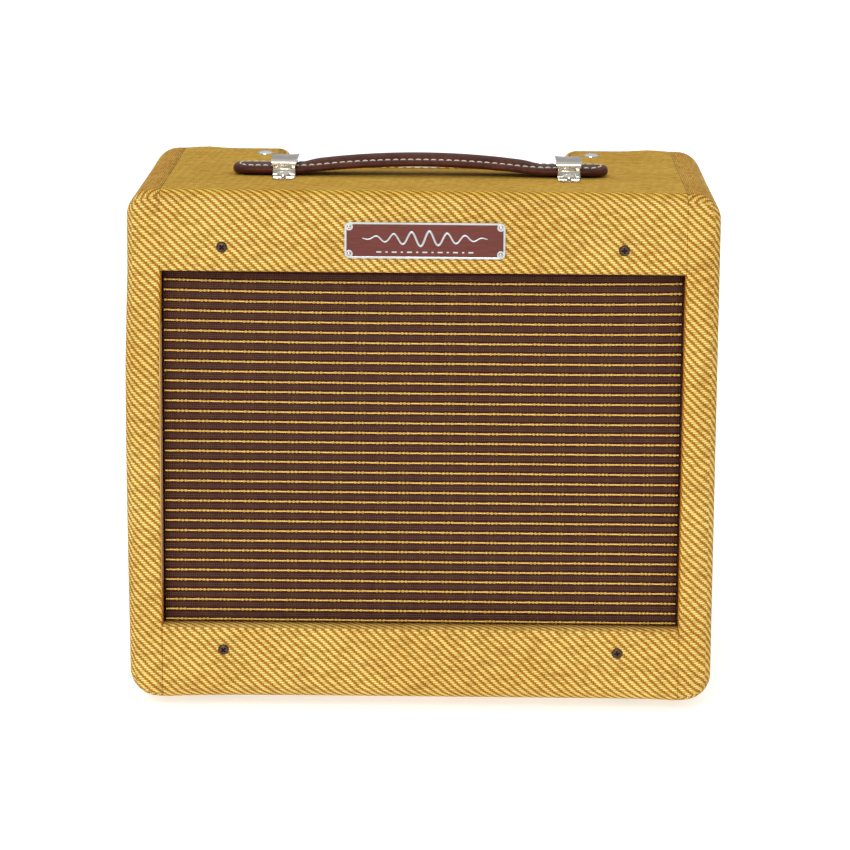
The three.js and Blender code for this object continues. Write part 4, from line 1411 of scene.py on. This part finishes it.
def makeKnob():
    low, high = lowHigh("volume_knob")
    centre = boxOf("volume_shaft")[2]
    x, y = centre.x, centre.y
    outline = [(0, 15), (-1.5, 13.8), (-2.3, 11.5), (-2.7, 8.5), (-4.0, 5.6), (-6.6, 3.4), (-7.4, 0.5)]
    outline += [(-7.4 * math.cos(t), -8.2 * math.sin(t)) for t in [quarter * i / 8 for i in range(1, 8)]]
    outline.append((0, -8.2))
    outline += [(-px, py) for px, py in reversed(outline[1:-1])]
    pointer = [(x - px, y - py) for px, py in outline]
    body = outlinePiece("volumeKnobFine", pointer, low.z + 3.4, high.z, brownPhenolic, 0.9)
    skirt = [(3.5, 0), (8.0, 0), (8.0, 1.2), (7.4, 4.2), (3.5, 4.2), (3.5, 0)]
    skirt = [(r, low.z + h) for r, h in skirt]
    skirt = lathe("skirt", skirt, (x, y, 0), brownPhenolic, "z", 48, 0.3)
    drill(body, 3.4, low.z - 1, high.z - 1.4, x, y, 32, brownPhenolic)
    start, end = (x - 0.45, y - 14.0, high.z - 0.3), (x + 0.45, y - 4.0, high.z + 0.05)
    mark = boxPiece("mark", start, end, creamInlay, 0.1)
    install(joined("volumeKnobFine", [body, skirt, mark]), "volume_control", "brown_bakelite", "volume_knob")
    low = lowHigh("volume_potentiometer")[0].z
    deck, neck = panelTop - 9.2, panelTop + 2.5
    can = [(3.3, low), (11.9, low), (11.9, deck), (4.5, deck), (4.5, neck), (3.3, neck), (3.3, low)]
    can = lathe("can", can, (x, y, 0), steel, "z", 48, 0.4)
    nut = makeNut(x, y, panelTop + 0.35, panelTop + 2.4, 11.6, 10)
    install(joined("volumePotFine", [can, nut]), "cabinet", "nickel", "volume_potentiometer")


def makeJack(number):
    low, high, middle = boxOf(f"input_jack_{number}")
    x, y = middle.x, middle.y
    at, shelf = (x, y, 0), panelTop - 1.7
    barrel = [(3.35, low.z + 2), (3.35, high.z), (4.5, high.z), (4.5, shelf), (8.3, shelf)]
    barrel += [(8.3, low.z), (0, low.z)]
    pieces = [lathe("barrel", barrel, at, nickel, "z", 40, 0.25),
              # the bottom of the bore is painted near-black as shade
              lathe("end", rod(3.4, low.z + 1.6, low.z + 2.2), at, paintedRecessShade, "z", 32, 0),
              makeNut(x, y, panelTop + 0.9, panelTop + 2.7, 12.2, 17 * number),
              lathe("washer", ringLine(4.6, 6.9, panelTop + 0.3, panelTop + 0.9), at, nickel, "z", 40, 0.15)]
    install(joined(f"inputJack{number}Fine", pieces), "cabinet", "nickel", f"input_jack_{number}")


def aboveLine(profile):
    # a profile given by heights above the control panel
    return [(r, panelTop + h) for r, h in profile]


def makeLamp():
    low, high, middle = boxOf("pilot_lamp_holder")
    at = (middle.x, middle.y, 0)
    ring = [(0, low.z), (7.0, low.z)]
    ring += aboveLine([(7.0, 0.35), (8.5, 0.35), (8.5, 1.4), (7.6, 3.4), (5.6, 3.4), (5.6, -4), (0, -4)])
    ring = lathe("pilotLampHolderFine", ring, at, chrome, "z", 48, 0.3)
    install(ring, "cabinet", "chrome", "pilot_lamp_holder")
    low, high = lowHigh("pilot_jewel")
    facets = aboveLine([(5.2, 3.7), (6.7, 3.8), (6.7, 5.4), (5.4, 7.4), (3.0, 9.0)])
    facets = [(0, low.z), (5.1, low.z)] + facets + [(0, high.z)]
    jewel = lathe("pilotJewelFaceted", facets, at, redGlass, "z", 10, 0, 5)
    install(jewel, "cabinet", "jewel", "pilot_jewel")


def makeFuse():
    low, high, middle = boxOf("fuse_holder")
    x, y = middle.x, middle.y
    body = [(0, low.z), (7.5, low.z)] + aboveLine([(7.5, 0.35), (9.3, 0.35), (9.3, 2.5), (4.2, 2.5)])
    body += [(4.2, low.z + 8), (0, low.z + 8)]
    body = lathe("fuseHolderFine", body, (x, y, 0), blackPhenolic, "z", 48, 0.35)
    install(body, "cabinet", "black_bakelite", "fuse_holder")
    low, high = lowHigh("fuse_cap")
    lip = panelTop + 3.05
    line = [(0, low.z), (3.5, low.z), (3.5, lip), (7.2, lip), (7.2, high.z - 1.6), (6.2, high.z), (0, high.z)]
    points, steps = [], 72
    for radius, z in rounded(line, 0.4):
        for k in range(steps):
            # every third point sits in a knurl's groove
            r = radius - 0.28 if radius > 7.0 and k % 3 == 0 else radius
            a = 2 * math.pi * k / steps
            points.append((x + r * math.cos(a), y + r * math.sin(a), z))
    grid = gridFaces(len(points) // steps, steps, closed=True)
    cap = meshPiece("fuseCapKnurled", points, grid, blackPhenolic, 30)
    start, end = (x - 0.7, y - 8, high.z - 1.0), (x + 0.7, y + 8, high.z + 2)
    cutAway(cap, boxPiece("slot", start, end, blackPhenolic, 0))
    install(cap, "fuse_cap", "black_bakelite", "fuse_cap")


makeDial()
makeKnob()
makeJack(1)
makeJack(2)
makeLamp()
makeFuse()
print("control panel dressed")

bells = {
    "half": 0.22,
    "side": 0.36,
    "levels": [(0.0, 1.0), (0.6, 1.0), (0.82, 0.95), (0.94, 0.86), (1.0, 0.72)],
}


def makeTransformer(node, name, bolt):
    # laminations between two bells, held by four bolts
    low, high, middle = boxOf(node)
    x, y, z = middle
    wide, deep, tall = high - low
    coreHalf, side = deep * bells["half"], wide * bells["side"]
    start, end = (low.x, y - coreHalf, low.z), (high.x, y + coreHalf, high.z)
    pieces = [boxPiece("core", start, end, laminations, 0.6)]
    outline = roundedOutline(x - side, x + side, low.z + tall * 0.1, high.z - tall * 0.1, 8, 6)
    for end in ends:
        points = []
        for part, scale in bells["levels"]:
            away = y + end * (coreHalf + (deep / 2 - coreHalf) * part)
            points += [(x + (px - x) * scale, away, z + (pz - z) * scale) for px, pz in outline]
        pieces.append(meshPiece("bell", points, tubeFaces(len(bells["levels"]), len(outline)), darkIron, 40))
    for sx, sz in corners:
        for end in ends:
            start = y + end * coreHalf
            head = [(0, start), (bolt, start), (bolt, start + end * 2.2), (0, start + end * 2.6)]
            at = (x + sx * wide * 0.43, 0, z + sz * tall * 0.42)
            pieces.append(lathe("bolt", head, at, steel, "y", 6, 0.2))
    install(joined(name, pieces), "cabinet", "iron", node)


makeTransformer("power_transformer", "powerTransformerFine", 2.9)
makeTransformer("output_transformer", "outputTransformerFine", 2.1)
print("transformers made")

# plates are (offset, radius); the preamp valve is all glass, without a base
octal = {"drop": 17, "plateFoot": 22, "pins": 8, "pinStep": 8, "pinRing": 8.7, "pin": 1.1, "hole": 1.5,
         "bore": 3.9, "tip": [(1.5, 0.6)], "socket": "brown_bakelite"}
valves = {
    "rectifier": {**octal, "base": 16.4, "glass": 15.5, "plates": [(-6.2, 4.2), (6.2, 4.2)], "box": False},
    "output": {**octal, "base": 15.9, "glass": 14.5, "drop": 16, "plates": [(0, 8.2)], "box": True},
    "preamp": {"glass": 10.8, "drop": 0, "plateFoot": 16, "pins": 9, "pinStep": 10, "pinRing": 5.9,
               "pin": 0.5, "hole": 0.75, "bore": 2.6, "tip": [(2.0, 4.0), (1.1, 1.4)],
               "socket": "black_bakelite", "plates": [(-4.2, 2.9), (4.2, 2.9)], "box": True},
}
chassisFloor = lowHigh("chassis")[0].z


def pinSpots(care, x, y):
    angles = [2 * math.pi * k / care["pinStep"] + 0.3 for k in range(care["pins"])]
    return [(x + care["pinRing"] * math.cos(a), y + care["pinRing"] * math.sin(a)) for a in angles]


def makeValve(valve):
    care = valves[valve]
    low, high, middle = boxOf(valve + "_valve")
    x, y, r, bottom = middle.x, middle.y, care["glass"], low.z
    seat = chassisFloor - 4.3
    neck = seat - care["drop"]
    shoulder = neck - 3 if care["drop"] else seat - 2.9
    outer = [(0, shoulder + 2.5), (r * 0.9, shoulder + 2.5), (r * 0.93, shoulder), (r, shoulder - 4)]
    outer.append((r, bottom + 13))
    outer += [(r * math.cos(t), bottom + 1.5 + 11.5 * (1 - math.sin(t))) for t in (0.35, 0.7, 1.0, 1.25)]
    outer += [(px, bottom + h) for px, h in care["tip"]] + [(0, bottom)]
    pieces = [lathe("glass", outer, (x, y, 0), clearGlass, "z", 48, 0.8, 60)]
    thicken(pieces[0], 0.9)
    plateTop, plateLow = shoulder - 7, bottom + care["plateFoot"]

    def addBox(at, wide, deep, low, high, bevel):
        start, end = (at - wide, y - deep, low), (at + wide, y + deep, high)
        pieces.append(boxPiece("plate", start, end, darkIron, bevel))

    for dx, radius in care["plates"]:
        if care["box"]:
            addBox(x + dx, radius, radius * 0.62, plateLow, plateTop, radius * 0.3)
        else:
            plate = rod(radius, plateLow, plateTop)
            pieces.append(lathe("plate", plate, (x + dx, y, 0), darkIron, "z", 24, 0.5))
        for part in (0.2, 0.5, 0.8):
            z = plateLow + (plateTop - plateLow) * part
            addBox(x + dx, radius * 1.16, radius * 0.2, z, z + 1, 0.2)
    for z in (plateLow - 1.2, plateTop + 0.3):
        pieces.append(lathe("mica", rod(r * 0.84, z, z + 0.5), (x, y, 0), creamInlay, "z", 24, 0))
    for dx in (-r * 0.55, r * 0.55):
        post = rod(0.6, plateLow - 3, shoulder + 1)
        pieces.append(lathe("post", post, (x + dx, y + 2, 0), steel, "z", 10, 0))
    getter = [(0, bottom + 2.6)]
    getter += [((r - 1.3) * math.cos(t), bottom + 2.6 + 11 * (1 - math.sin(t)))
               for t in (1.25, 1.0, 0.7, 0.45)]
    getter += [(px - 0.25 if px > 0 else 0, pz + 0.25) for px, pz in reversed(getter)]
    pieces.append(lathe("getter", getter, (x, y, 0), chrome, "z", 32, 0))
    if care["drop"]:
        b = care["base"]
        collar = [(0, seat), (b * 0.94, seat), (b, seat - 1.2), (b, seat - 11), (b - 0.6, neck)]
        collar += [(r - 1.4, neck - 1), (0, neck - 1)]
        pieces.append(lathe("collar", collar, (x, y, 0), brownPhenolic, "z", 48, 0.5))
        key = [(0, seat - 0.5), (3.4, seat - 0.5), (3.4, seat + 9.4), (2.6, high.z), (0, high.z)]
        pieces.append(lathe("key", key, (x, y, 0), brownPhenolic, "z", 28, 0.3))
    pr = care["pin"]
    pin = [(0, seat - 0.4), (pr, seat - 0.4), (pr, seat + 8.5), (pr * 0.5, seat + 9.4), (0, seat + 9.6)]
    for px, py in pinSpots(care, x, y):
        pieces.append(lathe("pin", pin, (px, py, 0), nickel, "z", 12, 0.1))
    install(joined(valve + "ValveFine", pieces), valve, "valve_glass", valve + "_valve")


def makeSocket(valve):
    care = valves[valve]
    low, high, middle = boxOf(valve + "_socket")
    x, y, r, bore = middle.x, middle.y, (high.x - low.x) / 2, care["bore"]
    material = brownPhenolic if care["drop"] else blackPhenolic
    line = [(bore, low.z), (r, low.z), (r, chassisFloor - 0.4), (10.5, chassisFloor - 0.4), (10.5, high.z)]
    line += [(bore, high.z), (bore, low.z)]
    body = lathe(valve + "SocketFine", line, (x, y, 0), material, "z", 48, 0.4)
    for px, py in pinSpots(care, x, y):
        drill(body, care["hole"], low.z - 2, high.z - 1, px, py, 12, material)
    install(body, "cabinet", care["socket"], valve + "_socket")


for valve in valves:
    makeValve(valve)
    makeSocket(valve)
print("valves and sockets made")


def makeSpeaker():
    rimPlane = lowHigh("speaker_basket")[0].y
    axis = (0, rimPlane, (openLow + openHigh) / 2)
    surround = [(87.3 - i, 1.6 + 0.9 * math.cos(i * quarter)) for i in range(17)]
    # dust cap, ribbed cone and surround on the front, then the back of the cone and the voice coil
    faceLine = [(0, 24), (6, 24.6), (12, 26.8), (19, 31.8)]
    for i in range(1, 24):
        part = i / 24
        faceLine.append((19.2 + 50.8 * part, 31.6 - 24.2 * part ** 0.92 + (0.35 if i % 6 == 0 else 0)))
    faceLine += surround[::-1]
    cone = faceLine + [(r, d + 0.7) for r, d in reversed(faceLine[4:])]
    cone += [(14.2, 37), (14.2, 60), (13.6, 60), (13.6, 30.2), (10, 27.4), (0, 25.4)]
    cone = lathe("speakerConeFine", cone, axis, conePaper, "y", 72, 0, 50)
    install(cone, "cone", "paper", "speaker_cone")
    wave = [(14.7 + i * 0.7, 45.2 + 0.8 * math.sin(i * 0.9)) for i in range(39)]
    spider = wave + [(r, d + 0.5) for r, d in reversed(wave)] + wave[:1]
    spider = lathe("speakerSpiderFine", spider, axis, amberCloth, "y", 64, 0, 60)
    install(spider, "cone", "fibre", "speaker_spider")
    gasket = lathe("speakerGasketFine", ringLine(91.7, 101.3, -2.8, -0.4), axis, feltPaper, "y", 72, 0.3)
    install(gasket, "cabinet", "paper", "speaker_gasket")
    shell = [(92.2, 0), (101.4, 0), (101.4, 1.5), (94.2, 1.5), (88, 8.8), (50, 44.8), (49.8, 53.8)]
    shell += [(18.1, 53.8), (18.1, 52.6), (48.6, 52.6), (48.6, 44.2), (86.7, 7.8), (92.2, 0)]
    basket = lathe("speakerBasketFine", shell, axis, steel, "y", 96, 0.8)
    for mid in [quarter * (k + 0.5) for k in range(4)]:
        outline = arcPoints(0, axis[2], 82, mid - 0.5, mid + 0.5, 10)
        outline += arcPoints(0, axis[2], 55, mid + 0.5, mid - 0.5, 8)
        cutAway(basket, outlinePiece("window", outline, rimPlane + 3.5, rimPlane + 50, steel, 0, "xz"))
    install(basket, "cabinet", "speaker_metal", "speaker_basket")
    pot = [(0, 50), (12.4, 50), (12.4, 72), (15.4, 72), (15.4, 54.3), (35.9, 54.3), (35.9, 60), (34.6, 61)]
    pot += [(34.6, 76), (33, 79.2), (28, 80), (0, 80)]
    magnet = lathe("speakerMagnetFine", pot, axis, nickel, "y", 64, 0.5)
    install(magnet, "cabinet", "speaker_metal", "speaker_magnet")


makeSpeaker()
print("speaker made")

circuit = {"count": 8, "first": -68, "pitch": 15.2, "plank": 1.6, "from": 12, "to": 36, "wire": (6, 42)}


def makeCircuit():
    # a row of parts on the board; every third one is a wax-paper capacitor, the others have colour bands
    low, high = lowHigh("circuit_board")
    deck = low.z + circuit["plank"]
    pieces = [boxPiece("plank", low, (high.x, high.y, deck), boardFibre, 0.2)]
    y0, y1 = low.y + circuit["from"], low.y + circuit["to"]
    wireEnds = [low.y + y for y in circuit["wire"]]
    eye = [(0.7, deck - 0.1), (1.8, deck - 0.1), (1.8, deck + 0.5), (0.7, deck + 0.8), (0.7, deck - 0.1)]
    for i in range(circuit["count"]):
        r, paint = (3.4, waxPaper) if i % 3 == 1 else (2.0, carbonBody)
        x = circuit["first"] + i * circuit["pitch"]
        at = (x, 0, deck + r + 0.15)
        body = [(0, y0), (r * 0.8, y0), (r, y0 + 1.5), (r, y1 - 1.5), (r * 0.8, y1), (0, y1)]
        pieces.append(lathe("component", body, at, paint, "y", 24, 0.4))
        pieces.append(lathe("leadWire", rod(0.4, *wireEnds), at, steel, "y", 8, 0))
        if paint == carbonBody:
            for k, colour in enumerate((brownPhenolic, waxPaper, blackPhenolic)):
                start = y0 + 5 + 4 * k
                band = ringLine(r * 0.9, r + 0.06, start, start + 1.6)
                pieces.append(lathe("band", band, at, colour, "y", 20, 0))
        for y in wireEnds:
            pieces.append(lathe("eyelet", eye, (x, y, 0), brass, "z", 16, 0.1))
    install(joined("circuitBoardFine", pieces), "cabinet", "fibre", "circuit_board")
    low, high, middle = boxOf("filter_capacitor")
    y0, y1 = low.y, high.y
    can = [(0, y0), (8.8, y0), (9.8, y0 + 1), (9.8, y0 + 4), (9.3, y0 + 5), (9.8, y0 + 6), (9.8, y1 - 1.2)]
    at = (middle.x, 0, middle.z)
    can = lathe("filterCapacitorFine", can + [(8.6, y1), (0, y1)], at, waxPaper, "y", 48, 0.4)
    install(can, "cabinet", "capacitor", "filter_capacitor")


def makeFoot(place):
    low, high, middle = boxOf("foot_" + place)
    profile = [(0, 2.4), (3.2, 2.4), (3.4, 0.6), (4.6, 0.0), (8.0, 0.0), (9.1, 0.9), (9.5, base - 0.5)]
    profile += [(2.0, base - 0.4), (2.0, high.z), (0, high.z)]
    name = "rubberFoot" + place.title().replace("_", "")
    foot = lathe(name, profile, (middle.x, middle.y, 0), rubber, "z", 48, 0.5)
    install(foot, "cabinet", "rubber", "foot_" + place)


makeCircuit()
for place in ("front_left", "front_right", "rear_left", "rear_right"):
    makeFoot(place)
print("circuit board and feet made")
